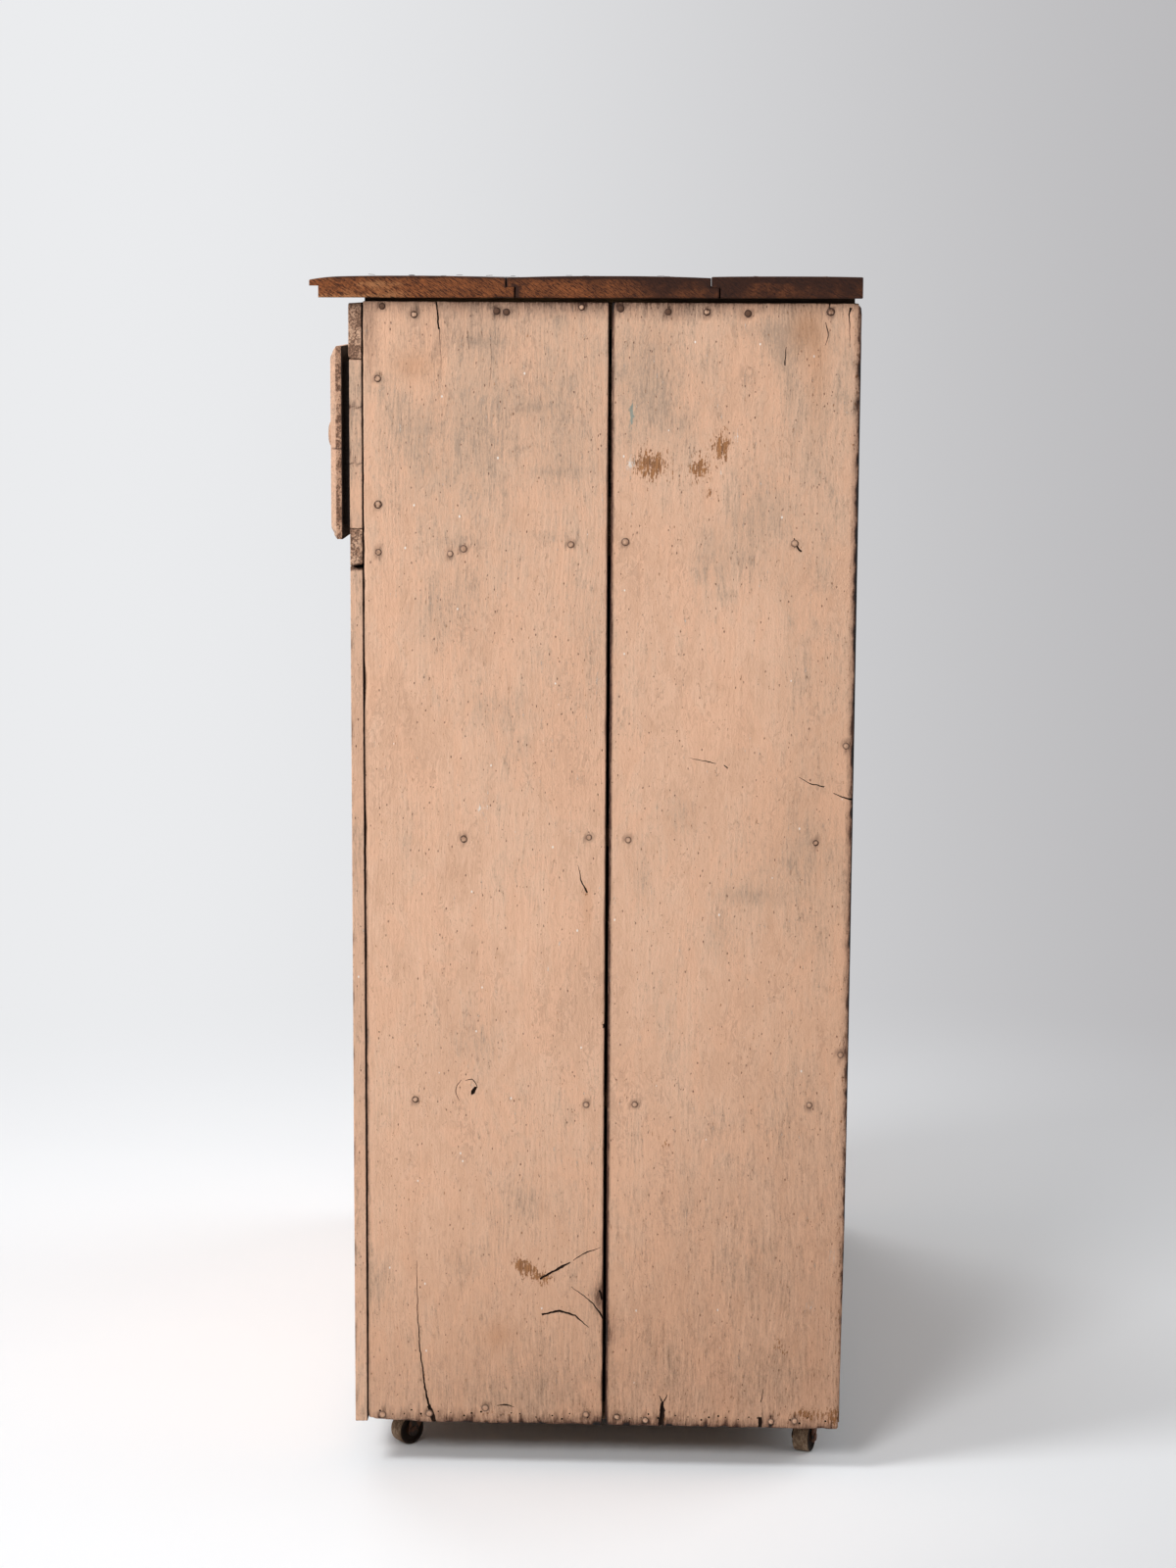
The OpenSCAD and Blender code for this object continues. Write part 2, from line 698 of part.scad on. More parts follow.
module drawer_front(s) {
    x0 = open_mid_x - lip_w / 2;
    knob_hole_l = drawer_lip_t + 0.2;
    color(paint) on_side(s) difference() {
        union() {
            intersection() {
                translate([x0, lip_front_y, lip_z]) linear_extrude(lip_h) bevelled_outline(lip_w);
                translate([x0, lip_front_y, lip_z]) rotate([90, 0, 90]) mirror([1, -1, 0])
                    linear_extrude(lip_w) bevelled_outline(lip_h);
            }
            block([open_mid_x - box_w / 2, lip_back_y, box_z],
                [open_mid_x + box_w / 2, block_back_y, box_z + box_h]);
        }
        translate([open_mid_x, lip_front_y - 0.1, drawer_knob_z]) rotate([-90, 0, 0])
            cylinder(knob_hole_l, r = knob_dowel_r + 0.05);
        block([open_mid_x - box_w / 2 + drawer_side_t - drawer_groove_d,
            block_back_y - drawer_groove_d, bottom_z],
            [open_mid_x + box_w / 2 - drawer_side_t + drawer_groove_d, block_back_y + 1,
            bottom_z + drawer_bottom_t + 2 * groove_play]);
    }
}

module drawer_sides(s) {
    groove_x = drawer_side_t - drawer_groove_d;
    color(bare) on_side(s) translate([open_mid_x, 0, 0]) for (e = [-1, 1]) on_side(e) difference() {
        block([box_w / 2 - drawer_side_t, block_back_y, box_z], [box_w / 2, box_end_y, box_z + box_h]);
        block([box_w / 2 - drawer_side_t - 1, block_back_y - 1, bottom_z],
            [box_w / 2 - groove_x, box_end_y + 1, bottom_z + drawer_bottom_t + 2 * groove_play]);
    }
}

module drawer_back(s) {
    x = box_w / 2 - drawer_side_t;
    color(bare) on_side(s) translate([open_mid_x, 0, 0])
        block([-x, box_end_y - drawer_side_t, bottom_z + drawer_bottom_t + 2 * groove_play],
            [x, box_end_y, box_z + box_h - drawer_head_gap]);
}

module drawer_bottom(s) {
    x = box_w / 2 - drawer_side_t + drawer_groove_d - groove_play;
    color(bare) on_side(s) translate([open_mid_x, 0, 0])
        block([-x, block_back_y - drawer_groove_d + groove_play, bottom_z + groove_play],
            [x, box_end_y, bottom_z + groove_play + drawer_bottom_t]);
}

// Half outline of a knob, as radius and distance from the face it stands on
knob_head_t = knob_reach * 0.42;
knob_round = [for (a = [0 : 15 : 90]) [
    knob_r - knob_head_t * 0.55 * (1 - cos(a)) - knob_r * 0.62 * pow(a / 90, 4),
    knob_reach - knob_head_t * 0.5 * (1 - sin(a))]];
knob_outline = concat(
    [[0, 0], [knob_foot_r, 0], [knob_foot_r, knob_reach * 0.1], [knob_neck_r, knob_reach * 0.2],
        [knob_neck_r, knob_reach * 0.42], [knob_r - 1, knob_reach - knob_head_t * 0.8]],
    knob_round, [[0, knob_reach]]);

// A turned knob on the origin, standing out along -Y, with its dowel along +Y
module knob(dowel_l) {
    rotate([90, 0, 0]) {
        rotate_extrude() polygon(knob_outline);
        translate([0, 0, -dowel_l]) cylinder(dowel_l, r = knob_dowel_r);
    }
}

module drawer_knob(s) {
    color(paint) translate([s * open_mid_x, lip_front_y, drawer_knob_z]) knob(drawer_lip_t);
}

// Doors

// A cut for the panels and tenons, in the middle of the door's thickness
module groove(x0, x1, z0, z1) {
    block([x0, groove_y, z0], [x1, groove_y + groove_w, z1]);
}

module door_stiles(s) {
    rail_spans = [[door_z, door_z + door_base_rail_h], [lower_panel_top_z, upper_panel_z],
        [upper_panel_top_z, door_top_z]];
    inner_in = door_in_x + door_stile_w;
    inner_out = door_out_x - door_stile_w;
    color(paint) on_side(s) {
        difference() {
            block([door_in_x, face_y, door_z], [inner_in, face_y + door_t, door_top_z]);
            groove(inner_in - panel_groove_d, inner_in + 1, door_z - 1, door_top_z + 1);
            for (r = rail_spans) groove(inner_in - tenon_l - groove_play, inner_in + 1,
                r[0] + door_rail_h * 0.2, r[1] - door_rail_h * 0.2);
            translate([door_knob_x, face_y - 0.1, door_knob_z]) rotate([-90, 0, 0])
                cylinder(door_dowel_l + 0.3, r = knob_dowel_r + 0.05);
        }
        difference() {
            block([inner_out, face_y, door_z], [door_out_x, face_y + door_t, door_top_z]);
            groove(inner_out - 1, inner_out + panel_groove_d, door_z - 1, door_top_z + 1);
            for (r = rail_spans) groove(inner_out - 1, inner_out + tenon_l + groove_play,
                r[0] + door_rail_h * 0.2, r[1] - door_rail_h * 0.2);
            for (z = hinge_zs) translate([hinge_x, hinge_y, z]) hinge_recess(-1);
        }
    }
}

// A rail between the stiles with a tenon at each end; low and high say which edges are grooved
module door_rail(z0, z1, low, high) {
    x0 = door_in_x + door_stile_w;
    x1 = door_out_x - door_stile_w;
    difference() {
        block([x0, face_y, z0], [x1, face_y + door_t, z1]);
        if (low) groove(x0 - 1, x1 + 1, z0 - 1, z0 + panel_groove_d);
        if (high) groove(x0 - 1, x1 + 1, z1 - panel_groove_d, z1 + 1);
    }
    for (x = [[x0 - tenon_l, x0 + 1], [x1 - 1, x1 + tenon_l]])
        block([x[0], groove_y + groove_play, z0 + door_rail_h * 0.2 + groove_play],
            [x[1], groove_y + groove_w - groove_play, z1 - door_rail_h * 0.2 - groove_play]);
}

module door_rails(s) {
    color(paint) on_side(s) {
        door_rail(door_z, lower_panel_z, false, true);
        door_rail(lower_panel_top_z, upper_panel_z, true, true);
        door_rail(upper_panel_top_z, door_top_z, true, false);
    }
}

module door_panels(s) {
    reach = panel_groove_d - groove_play;
    x0 = door_in_x + door_stile_w - reach;
    x1 = door_out_x - door_stile_w + reach;
    y0 = groove_y + groove_play;
    color(paint) on_side(s) {
        block([x0, y0, lower_panel_z - reach], [x1, y0 + panel_t, lower_panel_top_z + reach]);
        block([x0, y0, upper_panel_z - reach], [x1, y0 + panel_t, upper_panel_top_z + reach]);
    }
}

module door_knob(s) {
    color(paint) translate([s * door_knob_x, face_y, door_knob_z]) knob(door_dowel_l);
}

module door_leaves(s) {
    color(iron) on_side(s) for (z = hinge_zs) translate([hinge_x, hinge_y, z]) leaf(-1, 1);
}

// Turn button, upright at rest so that it frees both doors

button_back_y = face_y - slide_gap;

module turn_button() {
    r = button_w / 2;
    color(paint) translate([0, button_back_y, button_z]) rotate([90, 0, 0]) difference() {
        linear_extrude(button_t) {
            square([button_w, button_l - button_w], center = true);
            for (e = [-1, 1]) translate([0, e * (button_l / 2 - r)]) circle(r);
        }
        translate([0, 0, -1]) cylinder(button_t + 2, r = button_screw_r + running_gap);
    }
}

module turn_button_screw() {
    head_h = button_head_r * 0.5;
    head_z = button_t + slide_gap;
    color(rust) translate([0, button_back_y, button_z]) rotate([90, 0, 0]) difference() {
        union() {
            translate([0, 0, -frame_t]) cylinder(frame_t + head_z, r = button_screw_r);
            translate([0, 0, head_z]) cylinder(head_h, r1 = button_head_r, r2 = button_head_r * 0.7);
        }
        translate([-button_head_r, -0.5, head_z + head_h - 1]) cube([2 * button_head_r, 1, 2]);
    }
}

// Casters: k is 1 for the front pair and -1 for the rear pair

function caster_y(k) = k > 0 ? side_y + caster_front_inset : side_end_y - caster_rear_inset;
function caster_turn(k) = k > 0 ? front_caster_turn : rear_caster_turn;
caster_x = side_x - caster_side_inset;
plate_hole_x = caster_plate_l / 2 - 6;
plate_hole_y = caster_plate_w / 2 - 6;

// Puts a piece at a caster's swivel axis
module at_caster(s, k) {
    on_side(s) translate([caster_x, caster_y(k), 0]) children();
}

// A screwed plate with its race and the riveted swivel pin
module caster_plate() {
    translate([0, 0, plate_low_z]) difference() {
        linear_extrude(caster_plate_t) translate([-caster_plate_l / 2, -caster_plate_w / 2])
            round_rect(caster_plate_l, caster_plate_w, 4);
        for (x = [-1, 1], y = [-1, 1]) translate([x * plate_hole_x, y * plate_hole_y, -1])
            cylinder(caster_plate_t + 2, r = screw_r + 0.1);
    }
    translate([0, 0, plate_low_z - race_h]) cylinder(race_h, r = race_r);
    translate([0, 0, pin_low_z]) cylinder(plate_low_z - pin_low_z, r = swivel_pin_r);
    translate([0, 0, pin_low_z - swivel_head_h]) cylinder(swivel_head_h, r = swivel_head_r);
}

module caster_plates() {
    color(iron) for (s = [-1, 1], k = [-1, 1]) at_caster(s, k) caster_plate();
}

module caster_screws() {
    color(rust) for (s = [-1, 1], k = [-1, 1], x = [-1, 1], y = [-1, 1]) at_caster(s, k)
        translate([x * plate_hole_x, y * plate_hole_y, plate_low_z]) {
            cylinder(screw_l, r = screw_r, $fn = 24);
            translate([0, 0, -1.5]) cylinder(1.5, r1 = screw_head_r * 0.6, r2 = screw_head_r, $fn = 24);
        }
}

// Outline of a fork leg, as distance along the trail and height from the floor
module leg_outline() {
    top_w = race_r + 1;
    polygon([[-top_w, crown_top_z], [-top_w, crown_top_z - 4], [caster_trail - leg_r, wheel_r],
        [caster_trail + leg_r, wheel_r], [top_w + 1, crown_top_z - 4], [top_w + 1, crown_top_z]]);
    translate([caster_trail, wheel_r]) circle(leg_r);
}

// The fork trails along its own -Y, and its axle lies along its own X
module caster_fork(s, k) {
    color(iron) at_caster(s, k) rotate([0, 0, caster_turn(k)]) mirror([0, 1, 0]) {
        difference() {
            union() {
                for (e = [-1, 1]) on_side(e) along_x(leg_x, leg_x + caster_plate_t) leg_outline();
                block([-leg_x - caster_plate_t, -race_r - 1, crown_low_z],
                    [leg_x + caster_plate_t, race_r + 2, crown_top_z]);
            }
            translate([0, 0, crown_low_z - 1])
                cylinder(caster_plate_t + 2, r = swivel_pin_r + running_gap);
            translate([-2 * leg_x, caster_trail, wheel_r]) rotate([0, 90, 0])
                cylinder(4 * leg_x, r = axle_r + 0.02);
        }
        translate([0, caster_trail, wheel_r]) rotate([0, 90, 0]) {
            axle_l = 2 * (leg_x + caster_plate_t) + 0.1;
            cylinder(axle_l, r = axle_r, center = true);
            for (e = [-1, 1]) translate([0, 0, e * (axle_l + axle_head_h) / 2])
                cylinder(axle_head_h, r = axle_head_r, center = true);
        }
    }
}

// Half outline of a wheel, as radius and place along the axle: rounded tread, thin web, hub
wheel_half = wheel_w / 2;
tread_r = wheel_r - 3.5;
hub_r = axle_r + 3;
module wheel_outline() {
    polygon([
        [axle_r + running_gap, -wheel_half], [hub_r, -wheel_half], [hub_r, -wheel_half + 3],
        [tread_r, -wheel_half + 2], [tread_r, -wheel_half], [wheel_r - 1.2, -wheel_half],
        [wheel_r - 0.35, -wheel_half + 0.6], [wheel_r, -wheel_half + 1.6],
        [wheel_r, wheel_half - 1.6], [wheel_r - 0.35, wheel_half - 0.6],
        [wheel_r - 1.2, wheel_half], [tread_r, wheel_half], [tread_r, wheel_half - 2],
        [hub_r, wheel_half - 3], [hub_r, wheel_half], [axle_r + running_gap, wheel_half]
    ]);
}

module caster_wheel(s, k) {
    color(tread) at_caster(s, k) rotate([0, 0, caster_turn(k)])
        translate([0, -caster_trail, wheel_r]) rotate([0, 90, 0]) rotate_extrude() wheel_outline();
}

side_front_board(1);  // side_right_front_board
side_rear_board(1);  // side_right_rear_board
side_front_board(-1);  // side_left_front_board
side_rear_board(-1);  // side_left_rear_board
top_front_board();
top_middle_board();
top_rear_board();
top_cleats();
top_rail();
middle_rail();
bottom_rail();
drawer_stile(1);  // drawer_stile_right
drawer_stile(-1);  // drawer_stile_left
drawer_stile_center();
door_stile(1);  // door_stile_right
door_stile(-1);  // door_stile_left
door_stile_center();
drawer_deck();
drawer_runners();
drawer_guides();
upper_shelf();
lower_shelf();
bottom_board();
back_boards();
side_nails();
frame_nails();
hinge_fixed_leaves();
hinge_pins();
turn_button_screw();
caster_plates();
caster_screws();
drawer_front(1);  // drawer_right_front
drawer_sides(1);  // drawer_right_sides
drawer_back(1);  // drawer_right_back
drawer_bottom(1);  // drawer_right_bottom
drawer_knob(1);  // drawer_right_knob
drawer_front(-1);  // drawer_left_front
drawer_sides(-1);  // drawer_left_sides
drawer_back(-1);  // drawer_left_back
drawer_bottom(-1);  // drawer_left_bottom
drawer_knob(-1);  // drawer_left_knob
door_stiles(1);  // door_right_stiles
door_rails(1);  // door_right_rails
door_panels(1);  // door_right_panels
door_knob(1);  // door_right_knob
door_leaves(1);  // door_right_leaves
door_stiles(-1);  // door_left_stiles
door_rails(-1);  // door_left_rails
door_panels(-1);  // door_left_panels
door_knob(-1);  // door_left_knob
door_leaves(-1);  // door_left_leaves
turn_button();
caster_fork(1, 1);  // caster_front_right_fork
caster_wheel(1, 1);  // caster_front_right_wheel
caster_fork(-1, 1);  // caster_front_left_fork
caster_wheel(-1, 1);  // caster_front_left_wheel
caster_fork(1, -1);  // caster_rear_right_fork
caster_wheel(1, -1);  // caster_rear_right_wheel
caster_fork(-1, -1);  // caster_rear_left_fork
caster_wheel(-1, -1);  // caster_rear_left_wheel
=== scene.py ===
"""The looks of an old plank cupboard: worn peach paint over boards, a dark stained top, bare
wood inside and rusty iron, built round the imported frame. Shapes are written in millimetres
and turned into metres when a piece is made."""

import math

import bmesh
import bpy
import numpy as np
from mathutils import Matrix, Vector


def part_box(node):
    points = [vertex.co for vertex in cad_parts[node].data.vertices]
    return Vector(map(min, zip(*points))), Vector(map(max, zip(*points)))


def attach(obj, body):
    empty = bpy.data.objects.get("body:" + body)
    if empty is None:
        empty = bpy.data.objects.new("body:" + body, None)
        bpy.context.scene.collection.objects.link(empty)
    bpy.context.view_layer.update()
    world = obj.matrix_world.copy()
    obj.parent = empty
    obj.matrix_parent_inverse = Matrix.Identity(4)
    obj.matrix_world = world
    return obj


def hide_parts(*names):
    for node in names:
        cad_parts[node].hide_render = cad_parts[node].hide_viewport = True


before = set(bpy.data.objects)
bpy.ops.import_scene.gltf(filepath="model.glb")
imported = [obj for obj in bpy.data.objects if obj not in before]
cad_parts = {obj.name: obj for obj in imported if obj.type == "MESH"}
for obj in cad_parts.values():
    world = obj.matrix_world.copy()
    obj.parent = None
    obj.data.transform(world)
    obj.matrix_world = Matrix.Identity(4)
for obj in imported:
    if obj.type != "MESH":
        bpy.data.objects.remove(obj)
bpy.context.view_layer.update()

MM = 1000.0
X, Y, Z = 0, 1, 2
WOOD, CRACK = 0, 1


# ---------------------------------------------------------------- noise

def lattice(cells, seed):
    """A number from 0 to 1 for each whole-numbered point."""
    x, y, z = (cells[..., i].astype(np.int64) for i in range(3))
    n = (x * 73856093) ^ (y * 19349663) ^ (z * 83492791) ^ (seed * 40503 + 977)
    n = ((n ^ (n >> 13)) * 1274126177) & 0x7FFFFFFF
    n = ((n ^ (n >> 16)) * 668265263) & 0x7FFFFFFF
    return (n & 0xFFFFFF) / float(0x1000000)


def noise(points, size, seed, octaves=2):
    """Smooth noise from 0 to 1; size is the distance between its features, one or three mm."""
    q = np.asarray(points, float) / np.asarray(size, float)
    total, weight = np.zeros(len(q)), 0.0
    for octave in range(octaves):
        cell = np.floor(q)
        t = q - cell
        t = t * t * (3 - 2 * t)
        value = np.zeros(len(q))
        for corner in np.ndindex(2, 2, 2):
            share = np.prod(np.where(corner, t, 1 - t), axis=1)
            value += share * lattice(cell + corner, seed + 31 * octave)
        total += value * 0.5 ** octave
        weight += 0.5 ** octave
        q = q * 2.03 + 17.1
    return total / weight


def step(value, low, high):
    t = np.clip((value - low) / (high - low), 0, 1)
    return t * t * (3 - 2 * t)


# ---------------------------------------------------------------- shapes

class Part:
    """A mesh in millimetres: vertices, faces, a finish number per face, and its painted fields."""

    def __init__(self, points, faces, finish=None):
        self.points = np.asarray(points, float)
        self.faces = [list(f) for f in faces]
        self.finish = list(finish) if finish is not None else [WOOD] * len(self.faces)
        self.fields = None


def joined(parts):
    """Several parts as one."""
    points, faces, finish, start = [], [], [], 0
    for part in parts:
        points.append(part.points)
        faces += [[i + start for i in f] for f in part.faces]
        finish += part.finish
        start += len(part.points)
    whole = Part(np.concatenate(points), faces, finish)
    if all(p.fields for p in parts):
        whole.fields = {k: np.concatenate([p.fields[k] for p in parts]) for k in parts[0].fields}
    return whole


# Distances from a board's edge at which its grid has lines, mm
EDGE_LINES = (0, 0.4, 0.9, 1.6, 2.6, 4.2)


def lines(low, high, pitch):
    """Grid lines from low to high, close together near both ends and a pitch apart between."""
    *near, last = [t for t in EDGE_LINES if t < (high - low) * 0.45]
    middle = np.linspace(low + last, high - last,
                         max(1, math.ceil((high - low - 2 * last) / pitch)) + 1)
    return np.concatenate([low + np.array(near), middle, high - np.array(near)[::-1]])


def box_surface(xs, ys, zs):
    """The closed surface of a box, on the given grid lines."""
    on = np.zeros((len(xs), len(ys), len(zs)), bool)
    on[[0, -1]] = on[:, [0, -1]] = on[:, :, [0, -1]] = True
    index = np.zeros(on.shape, int)
    index[on] = np.arange(on.sum())
    grid = np.stack(np.meshgrid(xs, ys, zs, indexing="ij"), -1)
    quads = []
    for axis in (X, Y, Z):
        for end in (0, -1):
            side = np.take(index, end, axis)
            quad = np.stack([side[:-1, :-1], side[1:, :-1], side[1:, 1:], side[:-1, 1:]], -1)
            quad = quad.reshape(-1, 4)
            if (end == 0) != (axis == Y):
                quad = quad[:, ::-1]
            quads.append(quad)
    return grid[on], np.concatenate(quads)


def board(low, high, grain, seed, pitch=(14, 9), radius=0.9, chips=1.5, wave=0.25,
          bites=(), shape=None, extra_lines=None):
    """A worn board in a box. Its edges are rounded and chipped by noise, its faces wave inwards,
    and each bite, a (place, reach, depth), takes more wood away. shape moves the points first."""
    low, high = np.asarray(low, float), np.asarray(high, float)
    grids = []
    for axis in (X, Y, Z):
        grid = lines(low[axis], high[axis], pitch[0] if axis == grain else pitch[1])
        if extra_lines and axis in extra_lines:
            more = [v for v in extra_lines[axis] if low[axis] < v < high[axis]]
            grid = np.unique(np.concatenate([grid, more]).round(3))
        grids.append(grid)
    points, faces = box_surface(*grids)
    stretch = np.ones(3)
    stretch[grain] = 2.2
    soft = noise(points, 22 * stretch, seed)
    rough = noise(points, 6 * stretch, seed + 1)
    cut = radius * (0.55 + soft) + chips * step(rough, 0.62, 0.85) * (0.4 + soft)
    for place, reach, depth in bites:
        away = np.linalg.norm((points - place) / reach, axis=1)
        cut += depth * np.exp(-away ** 2) * (0.6 + 0.8 * rough)
    cut = np.clip(cut, 0.2, 0.46 * (high - low).min())[:, None]
    inner = np.clip(points, low + cut, high - cut)
    out = points - inner
    distance = np.linalg.norm(out, axis=1)[:, None]
    sink = wave * (0.7 * noise(points, 60 * stretch, seed + 2)
                   + 0.3 * noise(points, 9 * stretch, seed + 3))[:, None]
    points = inner + out / distance * (cut - np.minimum(sink, cut * 0.8))
    if shape:
        points = shape(points)
    return Part(points, faces)


def node_mesh(node):
    """A CAD node's own mesh, with its split corners joined."""
    bm = bmesh.new()
    bm.from_mesh(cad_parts[node].data)
    bmesh.ops.remove_doubles(bm, verts=bm.verts, dist=1e-6)
    return bm


def solids(node):
    """The box of each separate solid of a CAD node, as (low, high) in mm, in order of place."""
    bm = node_mesh(node)
    left, found = set(bm.verts), []
    while left:
        stack, island = [left.pop()], []
        while stack:
            v = stack.pop()
            island.append(v.co[:])
            for e in v.link_edges:
                other = e.other_vert(v)
                if other in left:
                    left.remove(other)
                    stack.append(other)
        found.append((np.array(island).min(0) * MM, np.array(island).max(0) * MM))
    bm.free()
    return sorted(found, key=lambda b: tuple(b[0].round(2)))


def node_box(node):
    low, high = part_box(node)
    return np.array(low) * MM, np.array(high) * MM


def tube_faces(rings, sides):
    """Faces between rings of points, and one over each end."""
    faces = [[i * sides + k, i * sides + (k + 1) % sides, (i + 1) * sides + (k + 1) % sides,
              (i + 1) * sides + k] for i in range(rings - 1) for k in range(sides)]
    return faces + [list(range(sides))[::-1], [(rings - 1) * sides + k for k in range(sides)]]


def lathe(profile, axis_low, direction, segments, wobble=0.0, seed=0):
    """A turned shape: profile is (radius, distance) from axis_low along direction."""
    turn = Vector(direction).normalized().to_track_quat("Z", "Y").to_matrix()
    angles = [2 * math.pi * k / segments for k in range(segments)]
    points = np.array([(radius * math.cos(a), radius * math.sin(a), along)
                       for radius, along in profile for a in angles])
    if wobble:
        n = noise(points, 7, seed) - 0.5
        points[:, :2] *= 1 + wobble * n[:, None]
    points = points @ np.array(turn).T + np.asarray(axis_low, float)
    return Part(points, tube_faces(len(profile), segments))


CRACK_STEP = 2.2


def wedge(path, widths, depth, seed):
    """A ragged V groove along a path on the right side wall, for cutting."""
    path, out = np.asarray(path, float), np.array((1.0, 0.0, 0.0))
    reach = np.concatenate([[0], np.cumsum(np.linalg.norm(np.diff(path, axis=0), axis=1))])
    count = max(4, int(reach[-1] / CRACK_STEP))
    s = np.linspace(0, reach[-1], count)
    centre = np.stack([np.interp(s, reach, path[:, i]) for i in range(3)], 1)
    width = np.interp(s, reach, widths)
    run = np.gradient(centre, axis=0)
    side = np.cross(run / np.linalg.norm(run, axis=1)[:, None], out)
    ragged = noise(np.stack([s, s * 0, s * 0], 1), 4, seed) - 0.5
    centre += side * (ragged * 1.0 * np.minimum(1.6, width + 0.4))[:, None]
    half = width * (0.5 + 0.7 * np.abs(noise(np.stack([s, s * 0 + 9, s * 0], 1), 5, seed) - 0.5))
    left, right = centre + side * half[:, None], centre - side * half[:, None]
    top = out * 1.5
    deep = depth * (width / max(widths)) ** 0.5
    rows = np.stack([left + top, right + top, right - out * 0.05, centre - out * deep[:, None],
                     left - out * 0.05], 1)
    faces = tube_faces(count, 5)
    return Part(rows.reshape(-1, 3), faces, [CRACK] * len(faces))


def plain_box(low, high):
    return Part(*box_surface(*(np.array([low[a], high[a]], float) for a in (X, Y, Z))))


def linked(name, data):
    """A new object in the scene."""
    obj = bpy.data.objects.new(name, data)
    bpy.context.scene.collection.objects.link(obj)
    return obj


def new_mesh(name, part, materials):
    mesh = bpy.data.meshes.new(name)
    mesh.from_pydata((part.points / MM).tolist(), [], part.faces)
    for material in materials:
        mesh.materials.append(material)
    mesh.polygons.foreach_set("material_index",
                              [min(f, len(materials) - 1) for f in part.finish])
    return mesh


MARKERS = [bpy.data.materials.new(f"mark_{finish}") for finish in (WOOD, CRACK)]


def temporary(part, name):
    return linked(name, new_mesh(name, part, MARKERS))


def outward(part):
    """The part with its faces turned outwards, as a cut needs."""
    bm = bmesh.new()
    verts = [bm.verts.new(p) for p in part.points]
    kept = []
    for f, finish in zip(part.faces, part.finish):
        face = bm.faces.new([verts[i] for i in f])
        face.material_index = finish
        kept.append(face)
    bmesh.ops.recalc_face_normals(bm, faces=kept)
    bm.verts.index_update()
    faces = [[v.index for v in f.verts] for f in bm.faces]
    finish = [f.material_index for f in bm.faces]
    bm.free()
    return Part(part.points, faces, finish)


def cut(part, *tools):
    """The part with the tools' shapes taken away."""
    body = temporary(part, "cut_body")
    knives = [temporary(outward(t), f"cut_tool_{i}") for i, t in enumerate(tools)]
    for knife in knives:
        mod = body.modifiers.new("cut", "BOOLEAN")
        mod.operation, mod.solver, mod.object = "DIFFERENCE", "EXACT", knife
        mod.material_mode = "INDEX"
        mod.use_self = len(knife.data.polygons) > 40
    evaluated = body.evaluated_get(bpy.context.evaluated_depsgraph_get())
    mesh = evaluated.to_mesh()
    points = np.array([v.co for v in mesh.vertices]) * MM
    faces = [list(p.vertices) for p in mesh.polygons]
    finish = [p.material_index for p in mesh.polygons]
    evaluated.to_mesh_clear()
    for obj in (body, *knives):
        data = obj.data
        bpy.data.objects.remove(obj)
        bpy.data.meshes.remove(data)
    return Part(points, faces, finish)


GRAIN_SHIFT = 1000.0  # keeps each board's stretch of grain apart from the others', mm


def surfaced(part, low, high, grain, seed, pith=None, rub=0.0, grime=0.0, marks=None):
    """Gives a board's points the fields that its material reads: pc, the place in the board's
    own wood, along its grain first; wear, the distance to the nearest edge, the share of end
    grain, and grime, which also carries painted shade in deep gaps; marks, the undercoat
    showing, bare wood, and stain; spots, old white, teal and ochre paint."""
    rng = np.random.default_rng(seed)
    p = part.points
    order = [grain] + [a for a in (X, Y, Z) if a != grain]
    size = (high - low)[order]
    if pith is None:
        pith = (rng.uniform(0.3, 0.7) * size[1], -rng.uniform(25, 70)) if size[1] > size[2] \
            else (-rng.uniform(25, 70), rng.uniform(0.3, 0.7) * size[2])
    pc = (p - low)[:, order] - np.array([-GRAIN_SHIFT * (seed % 97), *pith])
    reach = np.minimum(p - low, high - p)
    edge = np.clip(np.sort(reach, axis=1)[:, 1], 0, 60)
    end = np.clip(1.4 - reach[:, grain] / 0.9, 0, 1)
    zero = np.zeros(len(p))
    marks = marks(p) if marks else {}
    part.fields = {
        "pc": pc,
        "wear": np.stack([edge, end, zero + grime + marks.get("grime", 0)], 1),
        "marks": np.stack([zero + rub + marks.get("rub", 0), zero + marks.get("bare", 0),
                           zero + marks.get("stain", 0)], 1),
        "spots": np.stack([zero + marks.get(k, 0) for k in ("white", "teal", "ochre")], 1),
    }
    return part


SHARP_DEGREES = 38


def piece(name, parts, body, slot, materials, *nodes):
    """One object from parts, riding on a body and standing for CAD nodes."""
    part = joined(parts) if len(parts) > 1 else parts[0]
    mesh = new_mesh(name, part, materials)
    for key, values in (part.fields or {}).items():
        field = mesh.attributes.new(key, "FLOAT_VECTOR", "POINT")
        field.data.foreach_set("vector", values.astype(np.float32).ravel())
    mesh.shade_smooth()
    mesh.set_sharp_from_angle(angle=math.radians(SHARP_DEGREES))
    mesh.update()
    obj = linked(name, mesh)
    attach(obj, body)
    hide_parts(*nodes)


# ---------------------------------------------------------------- materials

def rgb(red, green, blue):
    """A colour written as sRGB numbers up to 255, as the shader wants it."""
    return tuple(((c / 255 + 0.055) / 1.055) ** 2.4 if c > 10 else c / 255 / 12.92
                 for c in (red, green, blue)) + (1.0,)


